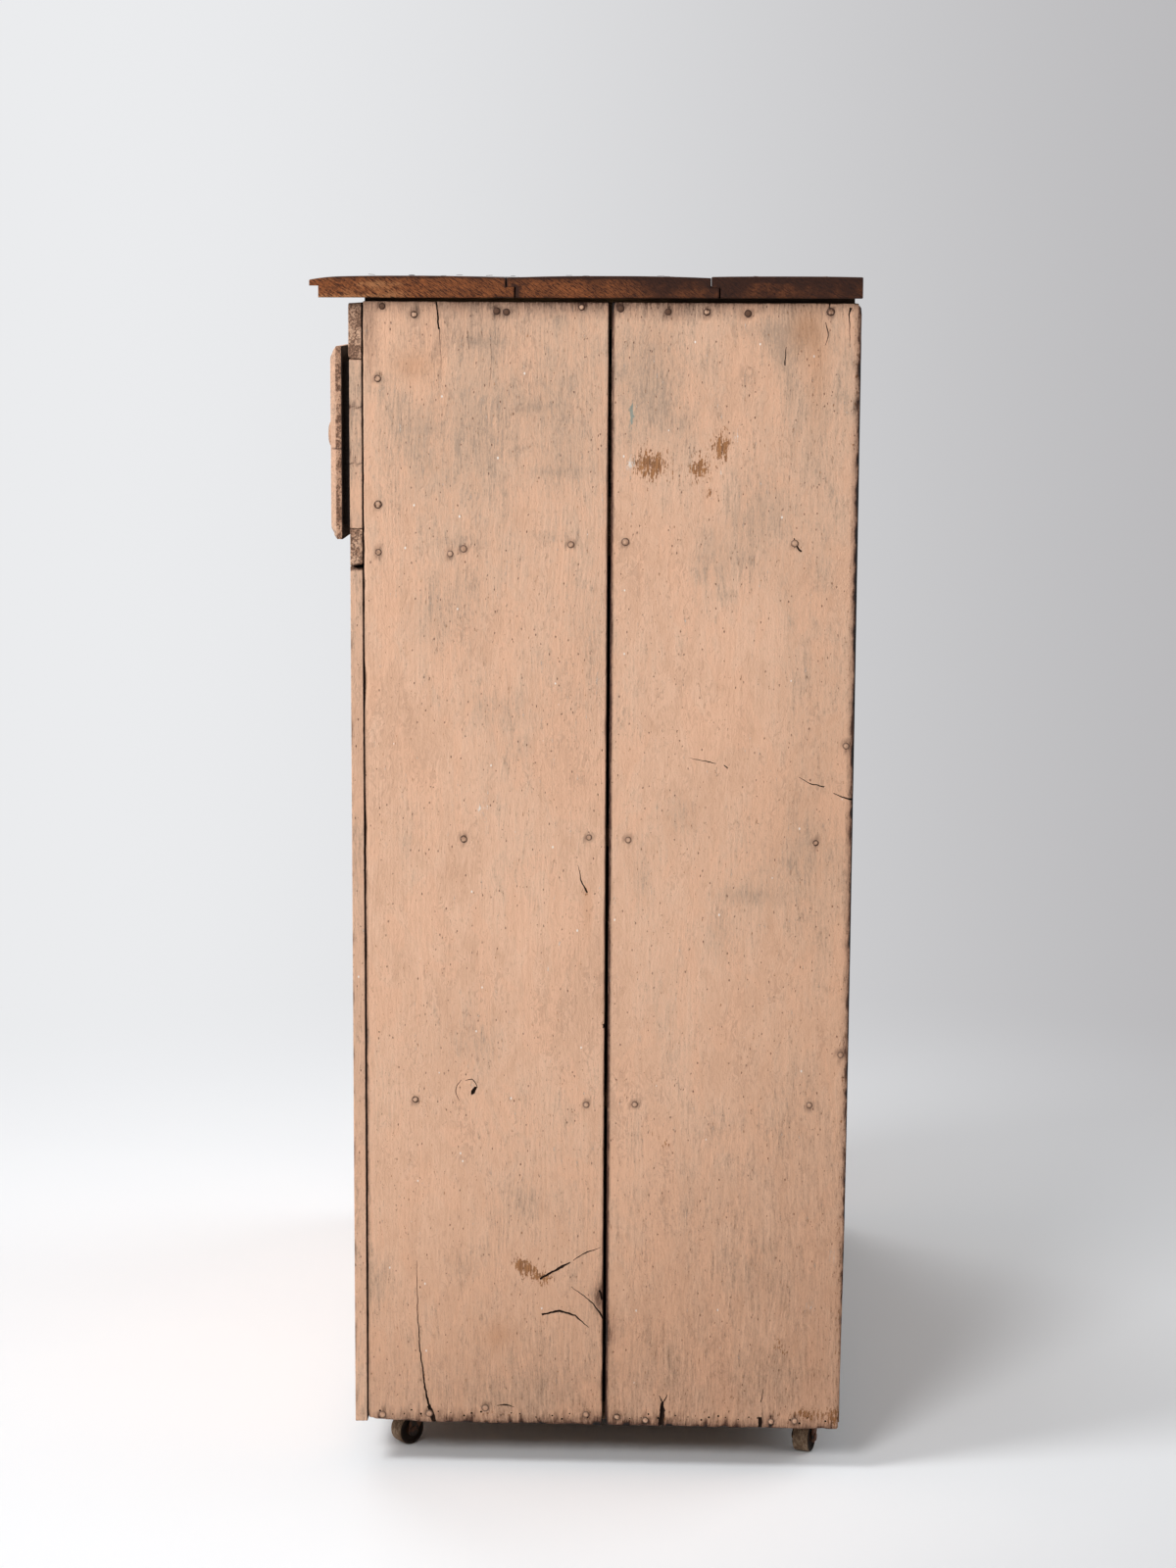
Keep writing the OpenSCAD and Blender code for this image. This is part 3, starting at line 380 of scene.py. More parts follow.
class Field:
    """A value in a node tree, with arithmetic that adds the nodes for it."""

    def __init__(self, shader, socket):
        self.shader, self.socket = shader, socket

    def math(self, kind, *others, clamp=False):
        return self.shader.math(kind, self, *others, clamp=clamp)

    def __add__(self, other):
        return self.math("ADD", other)

    __radd__ = __add__

    def __mul__(self, other):
        return self.math("MULTIPLY", other)

    __rmul__ = __mul__

    def __sub__(self, other):
        return self.math("SUBTRACT", other)

    def __rsub__(self, other):
        return self.shader.math("SUBTRACT", other, self)

    def step(self, low, high):
        """A smooth step from 0 at low to 1 at high; low may be the greater."""
        node = self.shader.node("ShaderNodeMapRange", interpolation_type="SMOOTHSTEP")
        flip = low > high
        for socket, value in zip(node.inputs, (self, min(low, high), max(low, high),
                                               1 if flip else 0, 0 if flip else 1)):
            self.shader.put(socket, value)
        return Field(self.shader, node.outputs[0])


class Shader:
    """The node tree of a new material or world, written as expressions."""

    def __init__(self, name, kind=bpy.data.materials):
        self.owner = kind.new(name)
        self.owner.use_nodes = True
        self.tree = self.owner.node_tree
        self.surface = self.tree.nodes.get("Principled BSDF")

    def node(self, kind, **settings):
        node = self.tree.nodes.new(kind)
        for key, value in settings.items():
            setattr(node, key, value)
        return node

    def put(self, socket, value):
        if isinstance(value, Field):
            self.tree.links.new(value.socket, socket)
        else:
            socket.default_value = value

    def math(self, kind, *values, clamp=False):
        node = self.node("ShaderNodeMath", operation=kind, use_clamp=clamp)
        for socket, value in zip(node.inputs, values):
            self.put(socket, value)
        return Field(self, node.outputs[0])

    def field(self, name):
        node = self.node("ShaderNodeAttribute", attribute_name=name)
        return Field(self, node.outputs["Vector"])

    def place(self):
        return Field(self, self.node("ShaderNodeTexCoord").outputs["Object"])

    def split(self, vector):
        node = self.node("ShaderNodeSeparateXYZ")
        self.put(node.inputs[0], vector)
        return [Field(self, s) for s in node.outputs]

    def vector(self, kind, a, b):
        node = self.node("ShaderNodeVectorMath", operation=kind)
        self.put(node.inputs[0], a)
        self.put(node.inputs[1], b)
        return Field(self, node.outputs[0])

    def shrunk(self, place, size):
        """A place divided by a size, which is one number or one for each axis."""
        return self.vector("MULTIPLY", place, [1 / float(s) for s in np.broadcast_to(size, 3)])

    def noise(self, place, size, detail=2.0, rough=0.55, twist=0.0, colour=False):
        """Noise whose features are size long, in the place's own units."""
        node = self.node("ShaderNodeTexNoise")
        self.put(node.inputs["Vector"], self.shrunk(place, size))
        for key, value in (("Scale", 1.0), ("Detail", detail), ("Roughness", rough),
                           ("Distortion", twist)):
            node.inputs[key].default_value = value
        return Field(self, node.outputs["Color" if colour else "Fac"])

    def cells(self, place, size):
        """Distance to the nearest of scattered points."""
        node = self.node("ShaderNodeTexVoronoi")
        self.put(node.inputs["Vector"], self.shrunk(place, size))
        node.inputs["Scale"].default_value = 1.0
        return Field(self, node.outputs["Distance"])

    def mix(self, share, a, b, kind="MIX"):
        node = self.node("ShaderNodeMix", data_type="RGBA", blend_type=kind)
        self.put(node.inputs[0], share)
        self.put(node.inputs[6], a)
        self.put(node.inputs[7], b)
        return Field(self, node.outputs[2])

    def over(self, colour, *layers):
        """A colour under layers, each (share, colour), the last on top."""
        for share, layer in layers:
            colour = self.mix(share, colour, layer)
        return colour

    def finish(self, colour, roughness, height_mm, metallic=0.0, specular=0.5):
        """Sets the surface's values and its relief, and gives the material."""
        self.put(self.surface.inputs["Base Color"], colour)
        self.put(self.surface.inputs["Roughness"], roughness)
        self.put(self.surface.inputs["Metallic"], metallic)
        self.surface.inputs["Specular IOR Level"].default_value = specular
        bump = self.node("ShaderNodeBump")
        bump.inputs["Strength"].default_value = 1.0
        bump.inputs["Distance"].default_value = 1 / MM
        self.put(bump.inputs["Height"], height_mm)
        self.tree.links.new(bump.outputs[0], self.surface.inputs["Normal"])
        return self.owner

    def blend(self, share, first, second, output):
        """Mixes two shader nodes into the tree's output."""
        mixer = self.node("ShaderNodeMixShader")
        self.put(mixer.inputs[0], share)
        self.tree.links.new(first.outputs[0], mixer.inputs[1])
        self.tree.links.new(second.outputs[0], mixer.inputs[2])
        self.tree.links.new(mixer.outputs[0], self.tree.nodes[output].inputs["Surface"])


def wood_fields(s):
    """The rings and fibres of solid wood, from the place in the board's own wood."""
    pc = s.field("pc")
    bend = s.noise(pc, (260, 90, 90), 2.0, colour=True)
    bent = s.vector("ADD", pc, s.vector("MULTIPLY", s.vector("SUBTRACT", bend, (0.5, 0.5, 0.5)),
                                        (0.0, 26.0, 26.0)))
    _, across, depth = s.split(bent)
    from_pith = s.math("SQRT", across * across + depth * depth)
    uneven = s.noise(pc, (900, 30, 30), 1.0)
    ring = s.math("SINE", from_pith * 1.55 + uneven * 9.0) * 0.5 + 0.5
    fibre = s.noise(bent, (34, 0.9, 0.9), 4.0, 0.68)
    return pc, bent, ring.math("POWER", 1.6), fibre


def painted_wood(name, grain):
    """Peach paint, thin and rubbed in streaks down to a grey-green undercoat, on worn boards;
    grain says how far the wood's own relief shows through."""
    s = Shader(name)
    pc, bent, ring, fibre = wood_fields(s)
    edge, end, grime = s.split(s.field("wear"))
    rub, bare, stain = s.split(s.field("marks"))
    white_paint, teal_paint, ochre = s.split(s.field("spots"))
    veil = s.noise(pc, (170, 62, 62), 3.0, 0.6)
    cloud = s.noise(pc, (46, 17, 17), 4.0, 0.65, 0.6)
    streak = s.noise(bent, (26, 2.6, 2.6), 5.0, 0.72)
    hair = s.noise(bent, (8, 1.5, 1.5), 3.0, 0.65)
    grit = s.noise(pc, (2.4, 1.8, 1.8), 3.0, 0.7)
    fleck = s.noise(pc, (5, 3.2, 3.2), 2.0)
    wrinkle = s.noise(pc, (11, 6, 6), 3.0, 0.6, 1.8)
    fine = (streak - 0.5) * 1.2 + (hair - 0.5) * 0.7 + (grit - 0.5) * 0.5

    tone = (veil * 0.5 + cloud * 0.5 + fine * 0.2).step(0.36, 0.64)
    blotch = s.noise(pc, (24, 11, 11), 3.0, 0.62, 1.0)
    fresh = s.noise(pc, (120, 46, 46), 2.0, 0.5, 1.2) + fine * 0.08
    coarse = (veil - 0.5) * 1.4 + (cloud - 0.5) * 1.3 + rub * 0.5
    haze = (coarse + fine * 1.3).step(-0.12, 0.7)
    worn = (coarse + fine * 2.2).step(0.5, 1.0)
    cracked = (wrinkle + (veil - 0.5) * 0.8).step(0.42, 0.38) * 0.4 \
        + (hair + (cloud - 0.5) * 0.6).step(0.39, 0.32) * (0.45 * grain)
    wood = s.over(s.mix(fibre.step(0.32, 0.66), rgb(104, 62, 30), rgb(172, 116, 66)),
                  ((streak + grit * 0.4).step(0.74, 0.6) * 0.5, rgb(66, 38, 20)))
    torn = (hair - 0.5) * 2.4 + (grit - 0.5) * 1.6 + (streak - 0.5) * 1.2
    bared = (bare + torn - 0.08).step(0.42, 0.56)
    rubbed = (edge + fleck * 2.2 + cloud * 2.5 + streak * 1.6).step(3.5, 2.7)
    dark_wood = s.mix(fibre.step(0.4, 0.6), rgb(54, 30, 20), rgb(104, 66, 42))
    pores = (s.noise(pc, (2.6, 2.2, 2.2), 3.0, 0.75) + (cloud - 0.5) * 0.5).step(0.52, 0.42)
    sawn = s.over(s.mix(cloud.step(0.4, 0.6), rgb(164, 124, 98), rgb(206, 166, 138)),
                  (pores * 0.85, rgb(84, 54, 38)))
    pits = s.cells(bent, (9.5, 4.6, 4.6)).step(0.17, 0.09) * fleck.step(0.52, 0.58)
    drops = s.cells(pc, (37, 24, 24)).step(0.04, 0.03)
    # Darkening by the grime field: dirt, and painted shade where the field stands for a deep gap
    dirt_and_shade = grime * (0.8 + fine * 1.4) - 0.04 + (cloud - 0.5) * 0.12
    dirt_and_shade = s.math("MINIMUM", s.math("MAXIMUM", dirt_and_shade, 0.0), 0.97)

    paint = s.over(
        s.mix(tone, rgb(208, 165, 136), rgb(225, 182, 153)),
        (blotch.step(0.5, 0.68) * 0.2, rgb(176, 136, 108)),
        (fresh.step(0.54, 0.57) * 0.45, rgb(222, 174, 143)),
        (haze * 0.58, rgb(167, 142, 121)),
        (worn * 0.4, rgb(127, 115, 103)),
        (cracked * (cloud.step(0.44, 0.6) * 0.45 + 0.06), rgb(120, 88, 68)),
        (ring * veil.step(0.42, 0.58) * 0.08, rgb(150, 122, 98)),
        (bared * 0.9, wood),
        (rubbed * 0.92, dark_wood),
        (end * 0.94, sawn),
        (pits * 0.8, rgb(96, 64, 46)),
        (drops * 0.8, rgb(236, 230, 222)),
        ((teal_paint + fine * 1.6).step(0.45, 0.75) * 0.8, rgb(120, 138, 130)),
        ((white_paint + fine * 1.8).step(0.45, 0.7) * 0.85, rgb(226, 218, 208)),
        ((ochre + fine).step(0.4, 0.7) * 0.7, rgb(226, 186, 112)),
        (stain.math("MULTIPLY", streak + 0.4, clamp=True), rgb(168, 112, 68)))
    paint = s.mix(dirt_and_shade, paint, s.mix(fleck, rgb(66, 38, 26), rgb(94, 61, 44)), "MULTIPLY")
    # Near black where grime runs past 1.15: painted shade in deep gaps behind the drawer lips, on
    # the drawer blocks and in the notch below the middle rail
    paint = s.over(paint, (dirt_and_shade * 0.45, rgb(66, 43, 31)), (grime.step(1.15, 1.6), rgb(19, 11, 8)))

    height = (hair * (0.08 + 0.17 * grain) + streak * (0.12 + 0.3 * grain) + grit * 0.16
              + wrinkle * 0.5 + veil * 1.2 + cloud * 0.6 + ring * 0.05 * grain
              - cracked * 0.06 - worn * 0.05 - pits * 0.35 - bared * 0.12 - rubbed * 0.1
              - pores * end * 0.4 + fibre * (0.08 + 0.3 * end))
    rough = 0.6 + haze * 0.1 + bared * 0.15 + dirt_and_shade * 0.15 + (hair - 0.5) * 0.2
    return s.finish(paint, rough, height, specular=0.3)


def stained_wood(name):
    """Nearly black old stain on the top's faces, brown raw wood at its edges and end grain."""
    s = Shader(name)
    pc, bent, ring, fibre = wood_fields(s)
    edge, end, grime = s.split(s.field("wear"))
    raw_and_glow, _, dark_share = s.split(s.field("marks"))
    cloud = s.noise(pc, (60, 22, 22), 3.0, 0.6)
    pore = s.noise(bent, (12, 0.8, 0.8), 3.0, 0.6)
    turn = s.node("ShaderNodeVectorRotate", rotation_type="X_AXIS")
    s.put(turn.inputs["Vector"], pc)
    turn.inputs["Angle"].default_value = math.radians(34)
    saw = s.noise(Field(s, turn.outputs[0]), (6, 6.0, 0.75), 3.0, 0.7)
    dark = s.over(s.mix(fibre.step(0.3, 0.7), rgb(36, 26, 22), rgb(66, 46, 36)),
                  (cloud.step(0.5, 0.68) * 0.5, rgb(88, 60, 43)))
    # bright: raw wood, with a painted glow of bounced light low on the front end
    bright = (raw_and_glow + (saw - 0.5) * 2.4 + (cloud - 0.5) * 2).step(0.5, 1.5)
    raw = s.over(
        s.mix((saw * 0.8 + fibre * 0.2).step(0.38, 0.6), rgb(82, 42, 22), rgb(152, 88, 48)),
        (ring * 0.25, rgb(64, 34, 20)),
        (bright * 0.85, rgb(184, 126, 82)),
        (saw.step(0.45, 0.36) * 0.75, rgb(46, 24, 16)))
    worn = (edge + cloud * 3.0 + pore * 1.5).step(3.4, 2.4)
    shade = s.math("MINIMUM", dark_share + (cloud - 0.5) * 1.6 + (saw - 0.5) * 0.8, 0.93)
    sawn = s.over(raw, (s.math("MAXIMUM", shade, 0.0), rgb(43, 21, 14)),
                  (saw.step(0.5, 0.4) * 0.5, rgb(30, 15, 11)))
    colour = s.over(dark, (worn * 0.6, raw), (end * 0.96, sawn), (grime, rgb(34, 24, 19)))
    height = fibre * 0.7 + pore * 0.4 + ring * 0.06 + cloud * 0.6 + saw * end * 0.9
    return s.finish(colour, 0.55 + pore * 0.2 + end * 0.2, height, specular=0.25)


def bare_wood(name):
    """Dry brown boards that were never painted."""
    s = Shader(name)
    pc, bent, ring, fibre = wood_fields(s)
    edge, end, grime = s.split(s.field("wear"))
    cloud = s.noise(pc, (140, 40, 40), 3.0, 0.6)
    pore = s.noise(bent, (16, 0.8, 0.8), 3.0, 0.6)
    colour = s.over(
        s.mix(fibre.step(0.3, 0.7), rgb(128, 92, 60), rgb(172, 132, 92)),
        (ring * 0.5, rgb(112, 74, 44)),
        (cloud.step(0.45, 0.7) * 0.45, rgb(110, 86, 64)),
        (pore.step(0.62, 0.4) * 0.35, rgb(70, 46, 30)),
        ((edge + cloud * 3).step(2.6, 1.4) * 0.4, rgb(82, 58, 40)),
        (end * 0.5, rgb(90, 60, 38)),
        (grime * cloud.step(0.3, 0.6), rgb(62, 46, 34)))
    height = fibre * 0.8 + pore * 0.4 + ring * 0.08
    return s.finish(colour, 0.68 + pore * 0.15, height, specular=0.3)


def crack_dark(name):
    """Dirt and shadowed wood in a crack."""
    s = Shader(name)
    place = s.place()
    fine = s.noise(place, 0.004, 3.0)
    return s.finish(s.mix(fine, rgb(20, 13, 10), rgb(58, 38, 26)), 0.9, fine * 0.3, specular=0.2)


def old_iron(name, base, rust, share, rough):
    """Dark iron under patches of rust and dirt."""
    s = Shader(name)
    place = s.place()
    cloud = s.noise(place, 0.012, 4.0, 0.65)
    grit = s.noise(place, 0.0012, 3.0, 0.6)
    rusty = (cloud + grit * 0.25).step(0.66 - share * 0.3, 0.8 - share * 0.3)
    colour = s.mix(grit, base, tuple(c * 1.7 for c in base[:3]) + (1.0,))
    colour = s.mix(rusty, colour, s.mix(grit, rust, tuple(c * 0.45 for c in rust[:3]) + (1.0,)))
    return s.finish(colour, rusty * 0.25 + rough + grit * 0.1, rusty * 0.08 + grit * 0.06,
                    metallic=0.75 - rusty * 0.65)


def nail_iron(name):
    """Nail heads: some rusty, some painted over, all dark round the rim with rust and painted
    shade.
    """
    s = Shader(name)
    painted, rim, _ = s.split(s.field("marks"))
    place = s.place()
    cloud = s.noise(place, 0.003, 3.0, 0.6)
    grit = s.noise(place, 0.0007, 2.0)
    rust = s.mix(grit, rgb(58, 38, 28), rgb(112, 76, 54))
    paint = s.mix(cloud.step(0.4, 0.6), rgb(182, 140, 112), rgb(208, 168, 140))
    cover = (painted * 1.2 + cloud - rim * 0.3).step(0.86, 1.1)
    colour = s.mix(cover * 0.85, rust, paint)
    # The dark rim is rust and painted shade in the crevice round the head
    colour = s.mix(rim * (0.7 + cloud * 0.3), colour, rgb(50, 30, 21))
    return s.finish(colour, 0.75 - cover * 0.12, cover * 0.1 + grit * 0.06, specular=0.35)


def wheel_wood(name):
    """Worn wooden caster wheels: a dusty tread, and sides near black round a hub, grease with
    painted shade.
    The wheel's own place runs from -1 to 1 along its axle and across."""
    s = Shader(name)
    along, one, other = s.split(s.field("pc"))
    place = s.place()
    cloud = s.noise(place, 0.011, 3.0, 0.6)
    grain = s.noise(place, (0.0016, 0.0016, 0.005), 3.0, 0.65)
    colour = s.mix(cloud.step(0.35, 0.65), rgb(114, 90, 70), rgb(158, 134, 110))
    colour = s.mix(grain.step(0.6, 0.4) * 0.6, colour, rgb(70, 52, 40))
    from_axle = s.math("SQRT", one * one + other * other)
    # The sides are painted near black: grease, and painted shade on the faces turned from the
    # light
    grease_and_shade = s.mix(grain, rgb(14, 8, 6), rgb(34, 22, 16))
    grease_and_shade = s.mix((from_axle + grain * 0.1).step(0.46, 0.38), grease_and_shade, rgb(66, 42, 27))
    side = s.math("MAXIMUM", s.math("ABSOLUTE", along).step(0.86, 0.97),
                  from_axle.step(0.95, 0.9))
    colour = s.mix(side * 0.97, colour, grease_and_shade)
    return s.finish(colour, 0.7 + grain * 0.2, grain * 0.2 + cloud * 0.12, specular=0.15)


PAINT = painted_wood("painted_wood", 1.0)
SMOOTH_PAINT = painted_wood("painted_smooth_wood", 0.3)
STAIN = stained_wood("stained_wood")
BARE = bare_wood("bare_wood")
DEEP = crack_dark("crack_dark")
IRON = old_iron("dark_iron", rgb(44, 38, 34), rgb(104, 62, 38), 0.5, 0.5)
RUST = old_iron("rusty_steel", rgb(58, 46, 40), rgb(122, 74, 46), 0.8, 0.6)
NAIL = nail_iron("nail_iron")
WHEEL = wheel_wood("wheel_wood")


# ---------------------------------------------------------------- side walls

SIDE_LOW, SIDE_HIGH = node_box("side_right_front_board")
FRONT_Y, TOP_Z, BOTTOM_Z = SIDE_LOW[Y], SIDE_HIGH[Z], SIDE_LOW[Z]
REAR_Y = node_box("side_right_rear_board")[1][Y]
SIDE_X = SIDE_HIGH[X]
WALL_D, WALL_H = 486.0, 1140.0


def nail_places(node):
    """Each nail of a node as (place of its head on the surface, outward axis, sign)."""
    found = []
    for low, high in solids(node):
        axis = int(np.argmax(high - low))
        centre = (low + high) / 2
        sign = 1.0 if axis == Z or centre[axis] > 0 else -1.0
        centre[axis] = high[axis] if sign > 0 else low[axis]
        found.append((centre, axis, sign))
    return found


SIDE_NAILS = nail_places("side_nails")
FRAME_NAILS = nail_places("frame_nails")

# Marks of the right side wall: distances back from its front edge and up from its top edge, mm.
# Soft patches are (y, z, half width, half height, strength).
UNDERCOAT = [
    (73, -306, 26, 34, 0.5), (105, -290, 16, 60, 0.6), (228, -335, 20, 60, 0.6),
    (201, -430, 26, 90, 0.5), (127, -399, 34, 20, 0.6), (39, -538, 16, 60, 0.6),
    (152, -440, 20, 30, 0.4), (110, -735, 30, 30, 0.7), (161, -906, 22, 24, 0.7),
    (98, -972, 22, 16, 0.8), (12, -992, 12, 30, 0.8), (146, -1112, 60, 22, 0.7),
    (284, -70, 26, 60, 0.8), (407, -27, 34, 11, 1.1), (408, -48, 14, 16, 0.9),
    (392, -204, 26, 40, 0.8), (346, -247, 26, 34, 0.8), (316, -122, 12, 20, 0.6),
    (445, -268, 22, 20, 0.4), (315, -505, 22, 26, 0.9), (432, -534, 40, 50, 0.5),
    (385, -585, 30, 9, 1.0), (275, -566, 12, 34, 0.7), (358, -626, 16, 26, 0.6),
    (110, -130, 40, 50, 0.5), (55, -150, 30, 60, 0.5), (175, -90, 40, 30, 0.4),
    (200, -150, 30, 40, 0.5), (120, -38, 26, 4, 0.8), (170, -102, 24, 6, 0.7),
    (60, -123, 18, 5, 0.7), (90, -233, 24, 4, 0.7), (190, -165, 30, 4, 0.6),
    (330, -900, 26, 60, 0.4), (420, -820, 30, 50, 0.4), (300, -1060, 40, 40, 0.6),
    (420, -1080, 50, 30, 0.7), (400, -980, 30, 30, 0.4), (290, -720, 20, 60, 0.3),
    (180, -230, 26, 4, 0.6), (160, -740, 40, 30, -0.4), (60, -640, 40, 60, -0.6),
    (180, -640, 50, 50, -0.7), (330, -30, 20, 30, -0.4), (360, -420, 60, 60, -0.6),
    (240, -50, 400, 95, 0.65), (110, -200, 110, 120, 0.35), (240, -560, 300, 160, -0.25),
    (420, -550, 90, 130, 0.35), (60, -720, 80, 110, 0.25),
    (150, -1090, 160, 50, 0.3), (445, -300, 40, 320, 0.45), (30, -700, 40, 300, -0.3),
    (60, -920, 30, 60, -0.6), (380, -320, 50, 40, -0.4), (200, -20, 20, 6, 0.6),
]
BARED = [(282, -157, 18, 14, 1.05), (330, -160, 9, 12, 0.95), (351, -138, 9, 15, 1.0),
         (338, -185, 3, 3, 0.9), (480, -300, 3, 120, 0.25), (156, -969, 8, 7, 1.0),
         (166, -976, 9, 6, 1.0), (180, -985, 11, 6, 1.0), (222, -583, 3, 4, 0.7),
         (302, -840, 5, 3, 0.9), (482, -60, 3, 60, 0.3), (481, -900, 4, 240, 0.3),
         (452, -1124, 30, 6, 0.7), (420, -1049, 6, 4, 0.9), (425, -1057, 4, 3, 0.9),
         (478, -1130, 8, 9, 0.7), (130, -1128, 30, 5, 0.35), (302, -1128, 4, 9, 0.7)]
WHITE = [(260, -161, 7, 4, 0.8), (262, -150, 2.5, 8, 0.6), (474, -956, 5, 12, 0.55),
         (454, -1008, 9, 4, 0.5), (113, -500, 4, 4, 0.5), (124, -497, 6, 10, 0.45),
         (152, -525, 4, 6, 0.5), (366, -130, 2.5, 6, 0.6), (352, -166, 2, 4, 0.6)]
TEAL = [(263, -108, 3, 12, 0.9), (266, -124, 2.5, 8, 0.7), (258, -92, 3, 8, 0.5),
        (424, -424, 2.5, 5, 0.6), (120, -512, 4, 8, 0.4)]
OCHRE = [(425, -364, 13, 1.8, 0.9)]
STAINED = [(430, -24, 16, 26, 0.45), (444, -60, 10, 60, 0.3), (50, -62, 22, 14, 0.35),
           (223, -600, 4, 22, 0.3), (135, -1045, 20, 14, 0.25), (240, -1170, 600, 240, 0.25),
           (490, -700, 110, 420, 0.18), (330, -980, 200, 160, 0.06)]
# Darkening along the top edge, the rear edge, the foot, the seam and the front joint, a few spots,
# and rows that make the wall darker towards the bottom and the rear
DARKENING = [(240, 0, 260, 12, 0.6), (240, 1, 260, 3.5, 0.5), (486, -570, 5, 900, 0.5),
         (240, -1141, 260, 6, 1.0), (241.4, -570, 1.7, 1500, 1.3), (244.6, -570, 1.5, 1500, 1.3),
         (-0.4, -570, 0.7, 1500, 0.9), (-0.3, -760, 1.9, 340, 1.2), (488, -200, 5.0, 420, 1.2),
         (487, -800, 2.6, 600, 1.1),
         (240, -1160, 600, 240, 0.10), (490, -1000, 190, 280, 0.15), (236, -1003, 5, 14, 0.9),
         (249, -1040, 5, 15, 0.6), (240, -1120, 400, 60, 0.09), (240, -1000, 400, 260, 0.05),
         (95, -30, 70, 30, 0.18), (6, -30, 8, 50, 0.3), (310, -12, 14, 8, 0.2)]
EDGE_DARKENING = 6  # so many of the rows darken the edges and the seam


def patches(y, z, table):
    """The sum of a table's soft patches at each point."""
    total = np.zeros(len(y))
    for cy, cz, half_y, half_z, strength in table:
        total += strength * np.exp(-((y - cy) / half_y) ** 2 - ((z - cz) / half_z) ** 2)
    return total


def round_nails(points, nails, side=None):
    """Dirt that has gathered round nail heads, and painted shade in the crevice round each head.
    """
    halo = np.zeros(len(points))
    for place, axis, sign in nails:
        if side is not None and (axis != X or sign != side):
            continue
        away = np.linalg.norm(points - place, axis=1)
        halo = np.maximum(halo, 0.55 * np.exp(-(away / 5.2) ** 8))
    return halo


def right_marks(points):
    """The marks of the photographed side, with ragged dirt along its lower and rear edges; the
    rear edge's own face is cleaner."""
    y, z = points[:, Y] - FRONT_Y, points[:, Z] - TOP_Z
    outer = step(points[:, X], SIDE_X - 4, SIDE_X - 1)
    ragged = step(noise(points, (6, 5, 9), 613), 0.52, 0.7) \
        * (0.65 * np.exp(-((z + WALL_H - 3) / 9) ** 2) + 1.1 * np.exp(-((y - WALL_D) / 3.4) ** 2))
    behind = step(y, WALL_D - 8, WALL_D - 2) * (1 - outer)
    marks = {key: patches(y, z, table) * outer
             for key, table in (("rub", UNDERCOAT), ("bare", BARED), ("stain", STAINED),
                                ("white", WHITE), ("teal", TEAL), ("ochre", OCHRE))}
    marks["grime"] = (patches(y, z, DARKENING) + ragged) * (1 - 0.8 * behind) \
        + round_nails(points, SIDE_NAILS, 1.0)
    return marks


def left_marks(points):
    """Marks of the side that isn't in the photograph: noise, and the same darkened edges."""
    y, z = points[:, Y] - FRONT_Y, points[:, Z] - TOP_Z
    high = noise(points, (30, 26, 60), 611)
    low = noise(points, (30, 14, 20), 612)
    return {"rub": (high - 0.5) * 1.6, "bare": step(low, 0.80, 0.9) * 0.9,
            "stain": step(high, 0.75, 0.9) * 0.4,
            "grime": patches(y, z, DARKENING[:EDGE_DARKENING]) + round_nails(points, SIDE_NAILS, -1.0)}


def on_side(y, z):
    """A point of the right side wall's outer face."""
    return (SIDE_X, FRONT_Y + y, TOP_Z + z)


